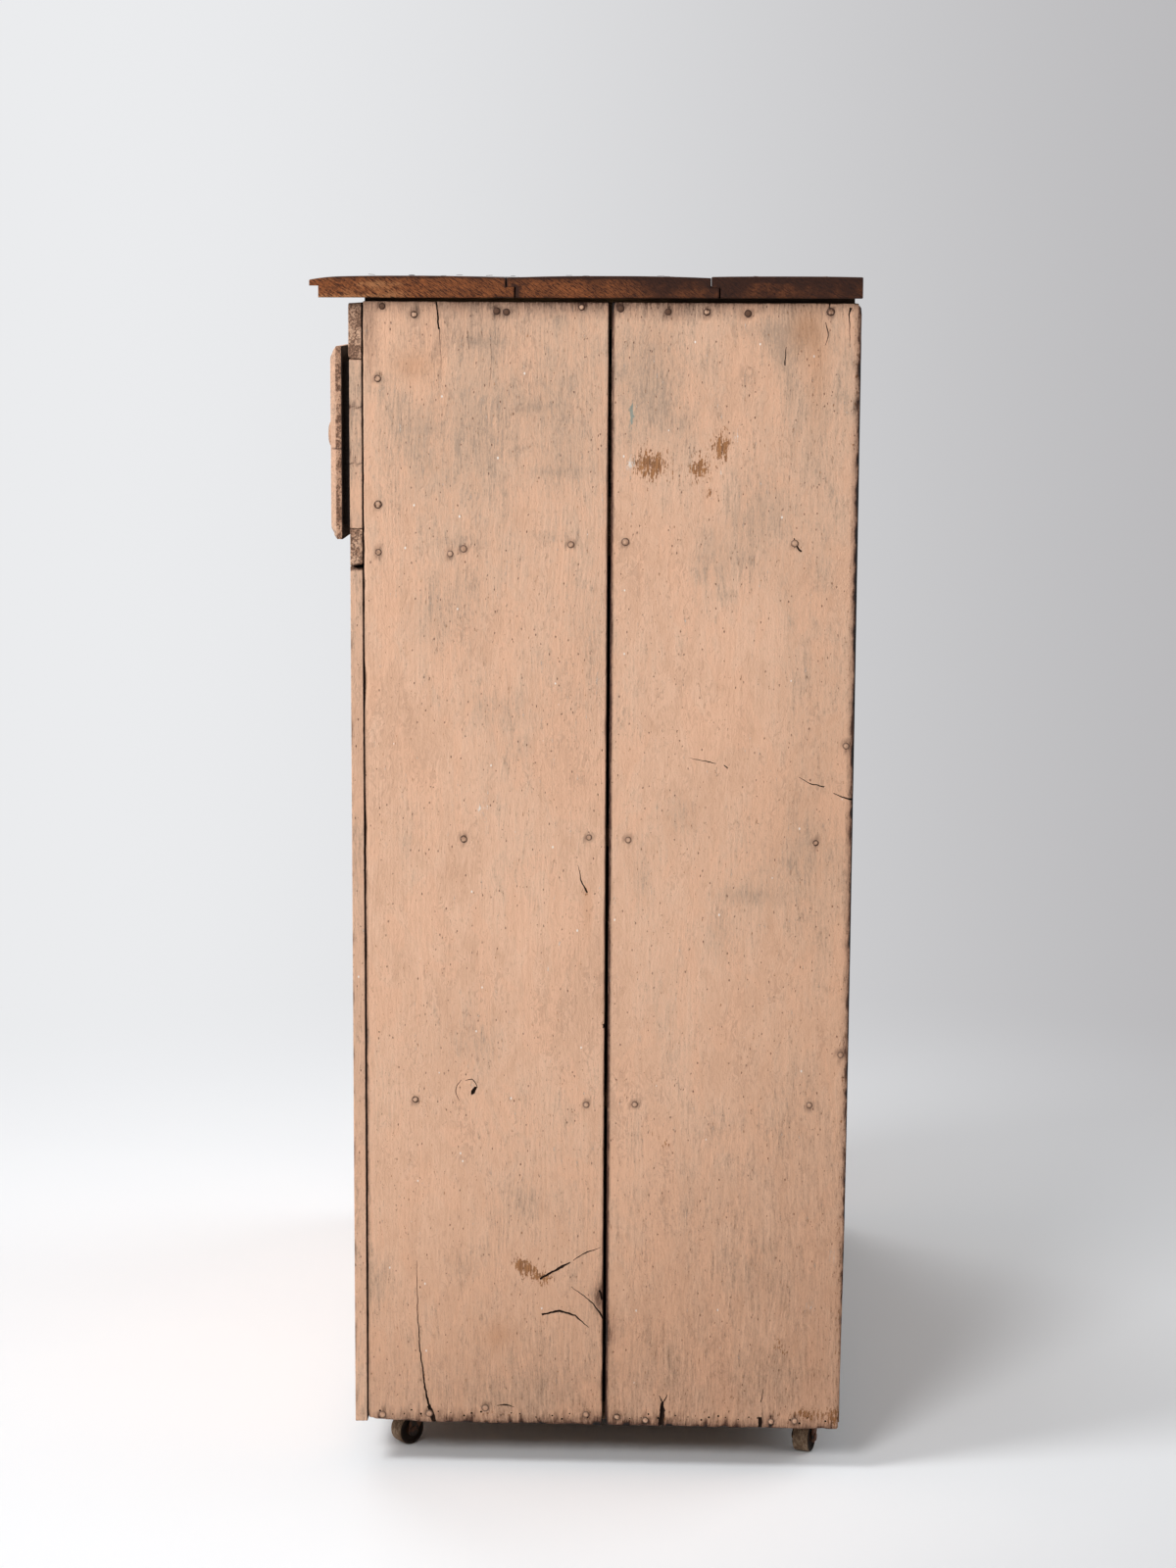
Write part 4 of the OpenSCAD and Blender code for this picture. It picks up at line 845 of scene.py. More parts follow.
# Cracks and scratches: (points, widths at the points, depth).
CRACKS = [
    ([(50, -968), (51, -1029), (54, -1069), (58, -1101), (63, -1124)],
     (0.3, 0.8, 1.2, 1.5, 2.4), 5),
    ([(62, -1122), (66, -1131), (69, -1142)], (3.4, 5.0, 3.2), 3),
    ([(72, 3), (74, -20), (75, -27)], (1.2, 1.5, 1.0), 6),
    ([(75, -25), (76, -40), (77, -66)], (0.6, 0.35, 0.12), 2),
    ([(125, -32), (126, -60), (124, -84)], (0.2, 0.35, 0.15), 1),
    ([(103, -28), (104, -46)], (0.2, 0.35), 1),
    ([(466, -481), (474, -484), (485, -487)], (0.5, 1.1, 1.6), 3),
    ([(432, -465), (443, -471), (457, -474)], (0.5, 0.8, 1.2), 2),
    ([(324, -447), (344, -451), (350, -452)], (0.3, 0.9, 0.3), 1.5),
    ([(357, -454), (361, -457)], (0.9, 1.2), 1.5),
    ([(178, -1023), (197, -1019), (212, -1023), (226, -1036)], (1.6, 2.2, 1.5, 0.3), 3),
    ([(208, -993), (226, -1006), (235, -1016), (241, -1028)], (0.4, 1.0, 1.4, 1.8), 2.5),
    ([(238, -951), (224, -956), (210, -965)], (0.3, 1.0, 0.6), 2),
    ([(207, -967), (199, -972), (190, -977), (176, -985)], (0.9, 2.2, 1.6, 2.0), 2),
    ([(213, -556), (216, -571), (222, -584)], (0.3, 1.0, 1.6), 2),
    ([(455, 3), (454, -6), (452, -11)], (1.2, 0.8, 0.4), 3),
    ([(451, -18), (454, -29), (451, -40)], (0.5, 0.8, 0.3), 2),
    ([(475, -4), (473, -12), (474, -22), (475, -42)], (1.8, 1.1, 0.7, 0.3), 3),
    ([(96, -778), (91, -784), (90, -792), (94, -800)], (0.4, 0.8, 0.8, 0.3), 1.2),
    ([(100, -779), (106, -777), (111, -781), (112, -786)], (0.4, 0.9, 0.9, 0.6), 1.2),
    ([(111, -785), (108, -790), (106, -793)], (2.4, 3.4, 1.4), 4),
    ([(302, -1113), (302, -1122), (301, -1142)], (2.4, 4.6, 5.6), 5),
    ([(299, -1107), (301, -1113)], (0.6, 1.4), 1.5),
    ([(307, -1106), (304, -1113)], (0.6, 1.4), 1.5),
    ([(405, -1098), (403, -1112)], (0.5, 1.0), 1.5),
    ([(402, -1128), (402, -1142)], (3.0, 4.2), 4),
    ([(423, -228), (426, -236), (431, -241)], (0.8, 1.6, 2.0), 2),
    ([(240, -718), (241, -722)], (2.0, 3.4), 4),
    ([(237, -996), (240, -1006)], (1.6, 2.6), 3),
    ([(132, -1121), (140, -1119), (150, -1122)], (0.4, 1.6, 0.4), 1.2),
    ([(413, -42), (412, -60)], (0.5, 1.0), 1.2),
]
CHIPS = [(0, -376, 7, 16, 5.5), (0, -520, 5, 22, 3.6), (0, -556, 4, 6, 2.5), (1, -240, 4, 8, 1.6),
         (2, -1140, 14, 5, 6.0), (18, -1140, 14, 6, 6.0), (36, -1140, 8, 4, 3.0),
         (0, -10, 5, 8, 2.0), (486, -1132, 6, 10, 3.0), (486, -30, 3, 8, 3.0)]
UPRIGHT_EDGES = (0, 240.5, 243.5, WALL_D)
EDGE_NICKS, FOOT_NICKS = 24, 26


def side_bites():
    """The chips of the right side wall, and small nicks along its upright edges and its foot."""
    bites = [(np.array(on_side(y, z)), np.array((30, half_y, half_z)), depth)
             for y, z, half_y, half_z, depth in CHIPS]
    rng = np.random.default_rng(77)
    for y in UPRIGHT_EDGES:
        for _ in range(EDGE_NICKS):
            place = np.array((SIDE_X, FRONT_Y + y, BOTTOM_Z + rng.uniform(20, WALL_H - 20)))
            bites.append((place, np.array((4, 3, rng.uniform(2, 11))), rng.uniform(0.8, 2.4)))
    for _ in range(FOOT_NICKS):
        place = np.array((SIDE_X, FRONT_Y + rng.uniform(0, WALL_D), BOTTOM_Z))
        bites.append((place, np.array((4, rng.uniform(3, 12), 4)), rng.uniform(1.0, 3.2)))
    return bites


def tack_holes(low_y, high_y):
    """A line of small holes along the lower edge, where oilcloth or tin was once tacked on."""
    rng = np.random.default_rng(5)
    tools, y = [], low_y + 12
    while y < high_y - 8:
        place = on_side(y, 10 - WALL_H + rng.uniform(-4.0, 3.0))
        radius = rng.uniform(0.8, 1.5)
        tools.append(lathe([(radius * 0.5, 0), (radius, 2.4)], np.array(place) - (1.6, 0, 0),
                           (1, 0, 0), segments=8))
        y += rng.uniform(7, 19)
    for tool in tools:
        tool.finish = [CRACK] * len(tool.faces)
    return tools


def rounded(points, corner, radius, way):
    """Rounds the edge along X at a corner (y, z), which lies on the lower side of both where way
    is -1 and on the upper side where it is 1."""
    centre = np.array(corner) - way * radius
    out = points[:, [Y, Z]] - centre
    far = np.linalg.norm(out, axis=1)
    hit = (out * way > 0).all(1) & (far > radius)
    moved = points.copy()
    moved[np.ix_(hit, [Y, Z])] = centre + out[hit] / far[hit, None] * radius
    return moved


CORNER_R, REAR_LEAN = 8.0, 4.0


def round_corner(points):
    """Wears away the upper rear corner of a side wall, as its solid does, and lets its rear edge
    lean in at the foot."""
    lean = REAR_LEAN * ((TOP_Z - points[:, Z]) / (TOP_Z - BOTTOM_Z)) ** 6
    points = points.copy()
    points[:, Y] -= lean * step(points[:, Y], REAR_Y - 120, REAR_Y)
    return rounded(points, (REAR_Y, TOP_Z), CORNER_R, 1)


def side_wall(which, seed, marks, pitch, cracked):
    """A side wall's two planks; cracked is for the wall in the photograph."""
    for k, place in enumerate(("front", "rear")):
        node = f"side_{which}_{place}_board"
        low, high = node_box(node)
        part = board(low, high, Z, seed + k, pitch=pitch, radius=1.0, chips=1.6, wave=0.3,
                     bites=side_bites() if cracked else (),
                     shape=round_corner if place == "rear" else None)
        if cracked:
            inside = [c for c in CRACKS if low[Y] - 3 < FRONT_Y + c[0][0][0] < high[Y] + 3]
            tools = [wedge([on_side(*p) for p in path], widths, depth, seed + 10 * i)
                     for i, (path, widths, depth) in enumerate(inside)]
            tools += tack_holes(low[Y] - FRONT_Y, high[Y] - FRONT_Y)
            part = cut(part, joined(tools))
        surfaced(part, low, high, Z, seed + k, marks=marks)
        paint = PAINT if place == "front" else SMOOTH_PAINT
        piece(f"side_{which}_{place}_plank", [part], "case", "painted_wood", (paint, DEEP), node)


side_wall("right", 11, right_marks, (7, 4), True)
side_wall("left", 31, left_marks, (16, 8), False)


# ---------------------------------------------------------------- other boards

def plain_board(low, high, grain, seed, marks=None, rub=0.0, grime=0.0, tools=(), pith=None,
                **settings):
    """A board with its cuts and its fields."""
    part = board(low, high, grain, seed, **settings)
    if tools:
        part = cut(part, *tools)
    return surfaced(part, low, high, grain, seed, pith=pith, rub=rub, grime=grime, marks=marks)


def bare_boards(node, body, grain, seed, **settings):
    """Bare boards in place of each of a node's boxes."""
    parts = [plain_board(low, high, grain, seed + 3 * i, **settings)
             for i, (low, high) in enumerate(solids(node))]
    piece(f"{node}_wood", parts, body, "bare_wood", (BARE, DEEP), node)


def near_frame_nails(points):
    return {"grime": round_nails(points, FRAME_NAILS)}


def worn_paint(points, seed, streaks, spots, level, gain):
    """Undercoat in streaks and bare wood in spots, from noise; streaks and spots are its sizes."""
    return {"rub": (noise(points, streaks, seed) - level) * gain,
            "bare": step(noise(points, spots, seed + 1), 0.82, 0.92) * 0.8}


# Top: three boards with a rebate on their long edges, each a little crowned
TOP_LOW, TOP_HIGH = node_box("top_front_board")
LAP = 9.0
SEAM_1 = node_box("top_middle_board")[0][Y]
SEAM_2 = node_box("top_rear_board")[0][Y]
TOP_END = node_box("top_rear_board")[1][Y]
TOP_MID = (TOP_LOW[Z] + TOP_HIGH[Z]) / 2
SEAM_W, TOP_RISE = 1.0, 1.6
PAST = 5.0  # how far a cutter reaches past the wood


def crown(y0, y1, drop, nose):
    """Lowers a board's upper face towards its long edges, and rounds off its front by nose. The
    rear of the top also stands a little higher than its front, on its cleats."""
    def shape(points):
        t = np.clip((points[:, Y] - y0) / (y1 - y0), 0, 1)
        high = step(points[:, Z], TOP_MID, TOP_HIGH[Z])
        fall = drop * np.abs(2 * t - 1) ** 2.4
        fall = fall + nose * np.clip(1 - (points[:, Y] - y0) / 30, 0, 1) ** 2
        rise = TOP_RISE * np.clip((points[:, Y] - TOP_LOW[Y]) / (TOP_END - TOP_LOW[Y]), 0, 1)
        points = points.copy()
        points[:, Z] += rise * (1 - high) - fall * high - (TOP_RISE - rise) * high
        return points
    return shape


def top_marks(points):
    """Dirt round the nails; the ends are dark above and to the rear, and lighter below and in
    front: raw wood and a painted glow of bounced light.
    """
    y, z = points[:, Y], points[:, Z]
    above = step(z, TOP_HIGH[Z] - 9, TOP_HIGH[Z] - 1)
    rear = step(y, SEAM_1, SEAM_2 + 20)
    patch = noise(points, (60, 50, 8), 71)
    front = step(-y, -SEAM_1, -TOP_LOW[Y] - 10)
    brow = step(z, TOP_HIGH[Z] - 5, TOP_HIGH[Z] - 2.5)
    seams = sum(np.exp(-((y - seam + 0.3) / 1.3) ** 2) * (z > TOP_MID - 0.5)
                + np.exp(-((y - seam - LAP) / 1.3) ** 2) * (z < TOP_MID + 0.5)
                for seam in (SEAM_1, SEAM_2))
    return {"grime": round_nails(points, FRAME_NAILS),
            # rub: raw wood low on the front end, with a painted glow of bounced light
            "rub": 1.4 * front * step(patch, 0.25, 0.6) * (1 - above),
            "stain": 0.12 + 1.4 * seams + 0.35 * above + 0.5 * brow + 0.7 * rear - 0.25 * front
            + (patch - 0.5) * 0.5}


def top_board(place, y0, y1, drop, nose, seed, rear_lip=True):
    """A board of the top. Its upper face runs from y0 to y1, and below it a rebate lies in front
    and, with rear_lip, a lip behind."""
    node = f"top_{place}_board"
    low, high = node_box(node)
    tools = [plain_box(low - PAST, (high[X] + PAST, y0 + LAP, TOP_MID))]
    if rear_lip:
        tools.append(plain_box((low[X] - PAST, y1 - SEAM_W, TOP_MID - 0.3), high + PAST))
    part = board(low, high, X, seed, pitch=(16, 6), radius=1.1, chips=1.4, wave=0.2,
                 shape=crown(y0, y1, drop, nose))
    part = surfaced(cut(part, *tools), low, high, X, seed, marks=top_marks,
                    pith=((y1 - y0) * (0.35 + 0.1 * (seed % 4)), -55))
    piece(f"top_{place}_plank", [part], "case", "stained_wood", (STAIN, DEEP), node)


top_board("front", TOP_LOW[Y], SEAM_1, 1.9, 2.2, 51)
top_board("middle", SEAM_1, SEAM_2, 1.8, 0.0, 54)
top_board("rear", SEAM_2, TOP_END, 0.7, 0.0, 59, rear_lip=False)

# Face frame
RAIL_LOW, (_, FRAME_BACK_Y, _) = node_box("top_rail")
RAIL_ROUND = 4.0


def rail_round(points):
    """Rounds the top rail's lower front edge."""
    return rounded(points, RAIL_LOW[[Y, Z]], RAIL_ROUND, -1)


MIDDLE_RAIL_LOW_Z = node_box("middle_rail")[0][Z]
STILE_GAP = MIDDLE_RAIL_LOW_Z - node_box("door_stile_right")[1][Z]
STILE_CHECKS = (TOP_Z - 103, TOP_Z - 158)
NOTCH_W = 11.0
CHECK_LINES = {Z: [z + d for z in STILE_CHECKS for d in (-1.5, -0.6, 0, 0.6, 1.5)]}


def frame_marks(points):
    """Dirt round the nails and along the joint with the side walls, darker just under the top, and
    painted shade in the chipped gap below the middle rail's ends."""
    x = np.abs(points[:, X])
    joint = step(points[:, Y], FRAME_BACK_Y - 0.9, FRAME_BACK_Y - 0.2)
    # gap: painted shade in the notch below the middle rail's ends
    gap = np.exp(-((points[:, Z] - MIDDLE_RAIL_LOW_Z + 0.5) / 2.6) ** 2) \
        * step(x, SIDE_X - 30, SIDE_X - 16) * step(points[:, Y], RAIL_LOW[Y] + 2, RAIL_LOW[Y] + 7)
    short = step(points[:, Z], MIDDLE_RAIL_LOW_Z + 30, MIDDLE_RAIL_LOW_Z + 34)
    nicks = step(noise(points, (9, 5, 12), 403), 0.58, 0.72) \
        * step(-points[:, Y], -RAIL_LOW[Y] - 4, -RAIL_LOW[Y] - 1) * step(x, SIDE_X - 4, SIDE_X - 1)
    checks = sum(np.exp(-((points[:, Z] - z - 0.8 * np.sin(points[:, Y] * 0.7)) / 0.9) ** 2)
                 for z in STILE_CHECKS) * step(x, SIDE_X - 4, SIDE_X - 2)
    marks = worn_paint(points, 401, (40, 40, 70), (16, 16, 12), 0.40, 1.3)
    marks["rub"] += 0.55 * short
    marks["grime"] = 0.12 + round_nails(points, FRAME_NAILS) + 1.3 * joint + 1.9 * gap \
        + 0.6 * checks + 0.5 * nicks + 0.5 * step(points[:, Z], TOP_Z - 16, TOP_Z - 1)
    return marks


def stile_end(points):
    """Draws the upper end of a door stile up to the middle rail in front and inside, so that the
    dried-out gap is a notch that opens at the side wall only."""
    z, x = points[:, Z], np.abs(points[:, X])
    front = step(-points[:, Y], -RAIL_LOW[Y] - 10, -RAIL_LOW[Y] - 2)
    inside = step(-x, NOTCH_W - SIDE_X - 6, NOTCH_W - SIDE_X)
    points = points.copy()
    points[:, Z] += STILE_GAP * step(z, MIDDLE_RAIL_LOW_Z - STILE_GAP - 8,
                                     MIDDLE_RAIL_LOW_Z - STILE_GAP) * np.maximum(front, inside)
    return points


def frame_piece(node, grain, seed, tools=(), **settings):
    """A board of the face frame."""
    low, high = node_box(node)
    part = plain_board(low, high, grain, seed, marks=frame_marks, tools=tools, pitch=(12, 6),
                       wave=0.25, **settings)
    piece(f"{node}_wood", [part], "case", "painted_wood", (PAINT, DEEP), node)


frame_piece("top_rail", X, 61, radius=1.2, chips=2.0, shape=rail_round)
frame_piece("middle_rail", X, 63, radius=1.0, chips=2.6,
            bites=[((SIDE_X, RAIL_LOW[Y] + 12, MIDDLE_RAIL_LOW_Z), (12, 6, 4), 4.6)])
frame_piece("bottom_rail", X, 65, radius=1.0, chips=1.8)
for which, seed in (("right", 67), ("left", 69), ("center", 71)):
    frame_piece(f"drawer_stile_{which}", Z, seed, radius=0.8, chips=1.6, extra_lines=CHECK_LINES)
frame_piece("door_stile_center", Z, 73, radius=0.8, chips=1.4)

# Hinge recesses, from the hinges' own places
PLAY, END_PLAY, KNUCKLE_R, KNUCKLES_L, HINGE_INSET = 0.1, 0.3, 3.2, 53.4, 46.0
LEAF_MIN_H = 30.0  # a node's shorter solids aren't leaves
OPEN_REACH = 6.0  # how far a recess's cutter reaches in front of the leaf


def hinge_cuts(node, sign, inward):
    """Cutters for the leaves of a node on one side: sign is the side, inward the leaf's way."""
    axis_x = sign * (SIDE_X - HINGE_INSET)
    tools = []
    for low, high in solids(node):
        if np.sign(low[X] + high[X]) != sign or (high - low)[Z] < LEAF_MIN_H:
            continue
        far = high[X] if inward * sign > 0 else low[X]
        ends = sorted((axis_x, far + PLAY * np.sign(far - axis_x)))
        tools.append(plain_box((ends[0], low[Y] - OPEN_REACH, low[Z] - END_PLAY),
                               (ends[1], high[Y] + PLAY, high[Z] + END_PLAY)))
        tools.append(lathe([(KNUCKLE_R, 0), (KNUCKLE_R, KNUCKLES_L)],
                           (axis_x, HINGE_Y, (low[Z] + high[Z] - KNUCKLES_L) / 2), (0, 0, 1), 24))
    return tools


HINGE_Y = sum(node_box("hinge_pins"))[Y] / 2
for which, sign in (("right", 1), ("left", -1)):
    frame_piece(f"door_stile_{which}", Z, 75 + sign,
                tools=hinge_cuts("hinge_fixed_leaves", sign, 1), radius=0.8, chips=1.5,
                shape=stile_end, extra_lines=CHECK_LINES)

# Inside: bare boards
COARSE = {"pitch": (40, 14), "radius": 0.7, "chips": 1.0, "wave": 0.3}
for i, (node, grain) in enumerate((("drawer_deck", X), ("drawer_runners", Y),
                                   ("drawer_guides", Y), ("upper_shelf", X), ("lower_shelf", X),
                                   ("bottom_board", X))):
    bare_boards(node, "case", grain, 200 + 20 * i, grime=0.15, **COARSE)
# The cleats reach up to the crowned top and back to the side walls' rear, so no slit shows there
# Grime of 0.95 darkens them: old dirt and painted shade in the slit under the top
cleats = [plain_board(low, (high[X], REAR_Y - 6, high[Z] + 2), Y, 320 + i, grime=0.95, **COARSE)
          for i, (low, high) in enumerate(solids("top_cleats"))]
piece("top_cleats_wood", cleats, "case", "bare_wood", (BARE, DEEP), "top_cleats")
bare_boards("back_boards", "case", Z, 400, marks=near_frame_nails, pitch=(24, 10), radius=0.9,
            chips=1.6, wave=0.4)

# ---------------------------------------------------------------- drawers

BLOCK_T, BEVEL_W, BEVEL_D = 10.0, 11.0, 7.0
DRAWER_HALF, CHECK_DROP = 194.0, 101.0
LIP_T = node_box("drawer_right_sides")[0][Y] - BLOCK_T - node_box("drawer_right_front")[0][Y]
LIP_CHECK_Z = node_box("drawer_right_front")[1][Z] - CHECK_DROP


def bevelled(low, high):
    """Slopes the border of a drawer front's face back to its edge, softly at the crease."""
    def shape(points):
        near = np.minimum(points - low, high - points)
        border = np.minimum(near[:, X], near[:, Z])
        fall = BEVEL_D * np.clip(1 - border / BEVEL_W, 0, 1)
        fall = fall + 0.7 * np.exp(-((border - BEVEL_W) / 2.2) ** 2)
        points = points.copy()
        points[:, Y] += fall * (high[Y] - points[:, Y]) / (high[Y] - low[Y])
        corner = np.minimum(near[:, X], 9) + np.minimum(near[:, Z], 9)
        points[:, Y] += 1.2 * np.clip(1 - corner / 8, 0, 1) * (high[Y] - points[:, Y]) / LIP_T
        return points
    return shape


def drawer_marks(points):
    """Dirt round the knob, at the ends and in a check in them, and painted shade behind the lip.
    """
    away = np.abs(np.abs(points[:, X]) - DRAWER_KNOB_X)
    hand = np.exp(-(away / 60) ** 2 - ((points[:, Z] - DRAWER_KNOB_Z - 10) / 38) ** 2)
    # behind: the lip's back face, painted near black as shade in the gap before the frame
    behind = step(points[:, Y], LIP_BACK_Y - 1.6, LIP_BACK_Y - 0.4)
    check = np.exp(-((points[:, Z] - LIP_CHECK_Z) / 0.8) ** 2) \
        * step(away, DRAWER_HALF - 1, DRAWER_HALF + 2)
    ends = step(away, DRAWER_HALF - 6, DRAWER_HALF)
    marks = worn_paint(points, 431, (80, 20, 36), (26, 16, 12), 0.40, 1.4)
    marks["grime"] = 0.10 + 0.16 * ends + 0.2 * hand + 1.7 * behind + check
    return marks


KNOB_LOW, KNOB_HIGH = node_box("drawer_right_knob")
DRAWER_KNOB_X = (KNOB_LOW[X] + KNOB_HIGH[X]) / 2
DRAWER_KNOB_Z = (KNOB_LOW[Z] + KNOB_HIGH[Z]) / 2
KNOB_REACH = 24.0
LIP_BACK_Y = KNOB_LOW[Y] + KNOB_REACH + LIP_T
KNOB_PROFILE = [
    (0.2, 0.2), (9.6, 0.2), (10.2, 0.5), (10.4, 1.2), (10.1, 2.2), (8.8, 3.2), (7.6, 4.4),
    (7.0, 6.0), (6.9, 8.0), (7.2, 9.6), (8.6, 11.4), (11.0, 13.4), (13.2, 15.2), (14.4, 16.8),
    (14.9, 18.2), (14.7, 19.6), (13.9, 21.0), (12.2, 22.3), (9.4, 23.3), (5.6, 23.8), (0.3, 23.95)]
KNOB_SIDES = 44


def knob(body, seed):
    """A turned and worn wooden knob in place of a body's knob node."""
    node = f"{body}_knob"
    low, high = node_box(node)
    centre = (low + high) / 2
    root = (centre[X], low[Y] + KNOB_REACH, centre[Z])
    part = lathe(KNOB_PROFILE, root, (0, -1, 0), KNOB_SIDES, wobble=0.03, seed=seed)
    part.points[:, Y] = np.maximum(part.points[:, Y], low[Y])
    surfaced(part, low, high, Y, seed, rub=0.45, grime=0.12)
    worn = step(low[Y] + 9 - part.points[:, Y], 0, 8)
    part.fields["marks"][:, 1] = 0.34 * worn
    part.fields["wear"][:, 0] = 20
    part.fields["wear"][:, 1] = 0.3
    piece(f"{node}_wood", [part], body, "painted_wood", (PAINT, DEEP), node)


for side, sign in (("right", 1), ("left", -1)):
    body = f"drawer_{side}"
    seed = 500 if sign > 0 else 540
    low, high = node_box(f"{body}_front")
    lip_high = np.array((high[X], low[Y] + LIP_T, high[Z]))
    box_low, box_high = node_box(f"{body}_sides")
    crease = {axis: [place for d in (BEVEL_W, BEVEL_W + 3)
                     for place in (low[axis] + d, high[axis] - d)] for axis in (X, Z)}
    crease[Z] += [LIP_CHECK_Z + d for d in (-1.3, -0.5, 0.5, 1.3)]
    lip = board(low, lip_high, X, seed, pitch=(9, 5), radius=1.1, chips=1.8, wave=0.2,
                shape=bevelled(low, lip_high), extra_lines=crease)
    surfaced(lip, low, lip_high, X, seed, marks=drawer_marks, pith=(-40, 60))
    block_low = np.array((box_low[X], lip_high[Y] - 0.5, box_low[Z]))
    block_high = np.array((box_high[X], high[Y], box_high[Z]))
    # The block's end, seen through the gap behind the lip, is painted near black: painted shade in
    # the deep gap
    block = plain_board(block_low, block_high, X, seed + 1, grime=1.7, pitch=(30, 12),
                        radius=0.6)
    piece(f"{body}_front_wood", [lip, block], body, "painted_wood", (PAINT, DEEP),
          f"{body}_front")
    for place, grain, more in (("sides", Y, 4), ("back", X, 14), ("bottom", X, 18)):
        bare_boards(f"{body}_{place}", body, grain, seed + more, **COARSE)
    knob(body, seed + 22)

# ---------------------------------------------------------------- doors

HAND_X, HAND_Z = 57.0, 560.0


def door_marks(points):
    """Dirt where hands open the doors, and at their foot."""
    hand = np.exp(-((np.abs(points[:, X]) - HAND_X) / 30) ** 2
                  - ((points[:, Z] - HAND_Z) / 70) ** 2)
    foot = step(-points[:, Z], -150, -95)
    marks = worn_paint(points, 451, (30, 30, 80), (16, 16, 26), 0.45, 1.3)
    marks["rub"] += 0.3 * foot
    marks["grime"] = 0.25 * hand + 0.2 * foot
    return marks


def door_boards(body, place, boxes, grain, seed, tools=None, **settings):
    """The boards of one of a door's nodes; tools gives a board's cutters from its box."""
    parts = [plain_board(low, high, grain, seed + i, marks=door_marks,
                         tools=tools(low, high) if tools else (), **settings)
             for i, (low, high) in enumerate(boxes)]
    node = f"{body}_{place}"
    piece(f"{node}_wood", parts, body, "painted_wood", (PAINT, DEEP), node)


for side, sign in (("right", 1), ("left", -1)):
    body = f"door_{side}"
    seed = 600 if sign > 0 else 640
    stiles = solids(f"{body}_stiles")

    def at_hinges(low, high):
        outer = abs(low[X] + high[X]) > SIDE_X - HINGE_INSET
        return hinge_cuts(f"{body}_leaves", sign, -1) if outer else ()

    door_boards(body, "stiles", stiles, Z, seed, at_hinges, pitch=(12, 7), radius=0.9, chips=1.4)
    rails = solids(f"{body}_rails")
    for low, high in rails:
        low[X], high[X] = stiles[0][1][X] + 0.1, stiles[1][0][X] - 0.1
    door_boards(body, "rails", rails, X, seed + 5, pitch=(12, 7), radius=0.7, chips=1.2)
    door_boards(body, "panels", solids(f"{body}_panels"), Z, seed + 9, pitch=(14, 8), wave=0.5)
    knob(body, seed + 12)

# ---------------------------------------------------------------- iron, nails and casters

BUTTON_SEED = 81
FLAT_DEGREES, BEVEL_DEGREES = 1, 32


def wheel_place(points):
    """Places on a wheel from -1 to 1, first along its axle and then across."""
    centre = (points.min(0) + points.max(0)) / 2
    arm = points - centre
    axle = np.linalg.eigh(arm.T @ arm)[1][:, 0]
    along = arm @ axle
    across = np.cross(axle, (0, 0, 1))
    across /= np.linalg.norm(across)
    own = np.stack([along, arm @ across, arm[:, Z]], 1)
    radius = np.linalg.norm(own[:, 1:], axis=1).max()
    return own / (np.abs(along).max(), radius, radius)


def softened(node, kind, body, slot, material, bevel, stem=None):
    """The node's own shape with its sharp edges worn round. The new piece's name is the node's,
    or stem, with kind at its end."""
    bm = node_mesh(node)
    bmesh.ops.dissolve_limit(bm, angle_limit=math.radians(FLAT_DEGREES), verts=bm.verts,
                             edges=bm.edges)
    sharp = [e for e in bm.edges if len(e.link_faces) == 2
             and e.calc_face_angle(0) > math.radians(BEVEL_DEGREES)]
    bmesh.ops.bevel(bm, geom=sharp, offset=bevel / MM, offset_type="OFFSET", segments=2,
                    profile=0.6, affect="EDGES", clamp_overlap=True)
    bm.verts.index_update()
    part = Part([v.co * MM for v in bm.verts], [[v.index for v in f.verts] for f in bm.faces])
    bm.free()
    if material is PAINT:
        surfaced(part, *node_box(node), Z, BUTTON_SEED, rub=0.5, grime=0.1)
    elif material is WHEEL:
        part.fields = {"pc": wheel_place(part.points)}
    piece(f"{stem or node}_{kind}", [part], body, slot, (material, DEEP), node)


# From below upwards: shares of the head's radius and height, and how dark the rim is there, rust
# and painted shade in the crevice round the head
NAIL_RINGS = [(0.9, -1.6, 1.0), (1.0, -0.6, 1.0), (0.97, 0.0, 1.0), (0.84, 0.45, 0.9),
              (0.66, 0.80, 0.45), (0.4, 0.96, 0.0), (0.02, 1.0, 0.0)]
NAIL_SIDES = 18


def nail_heads(nails, seed, proud):
    """Hand-forged heads: low uneven domes, most of them painted over."""
    rng = np.random.default_rng(seed)
    parts = []
    for place, axis, sign in nails:
        out = np.zeros(3)
        out[axis] = sign
        radius = rng.uniform(3.2, 4.1)
        height = 0.12 if axis == Z else proud * rng.uniform(0.7, 1.0)
        high = place[Z] > TOP_Z - 20
        painted = rng.choice([0.1, 0.3, 0.5] if high else [0.55, 0.75, 1.0, 1.0])
        profile = [(radius * r, height * h) for r, h, _ in NAIL_RINGS]
        base = place + out * (0.2 if axis != Z else -0.15)
        part = lathe(profile, base, out, NAIL_SIDES, wobble=0.22,
                     seed=int(rng.integers(1, 9999)))
        tilt = rng.normal(0, 0.03, 3)
        arm = part.points - base
        part.points = part.points + out * (arm @ tilt)[:, None]
        rim = np.repeat([dark for _, _, dark in NAIL_RINGS], NAIL_SIDES)
        zero = np.zeros(len(part.points))
        part.fields = {"marks": np.stack([zero + painted, rim, zero], 1)}
        parts.append(part)
    return parts


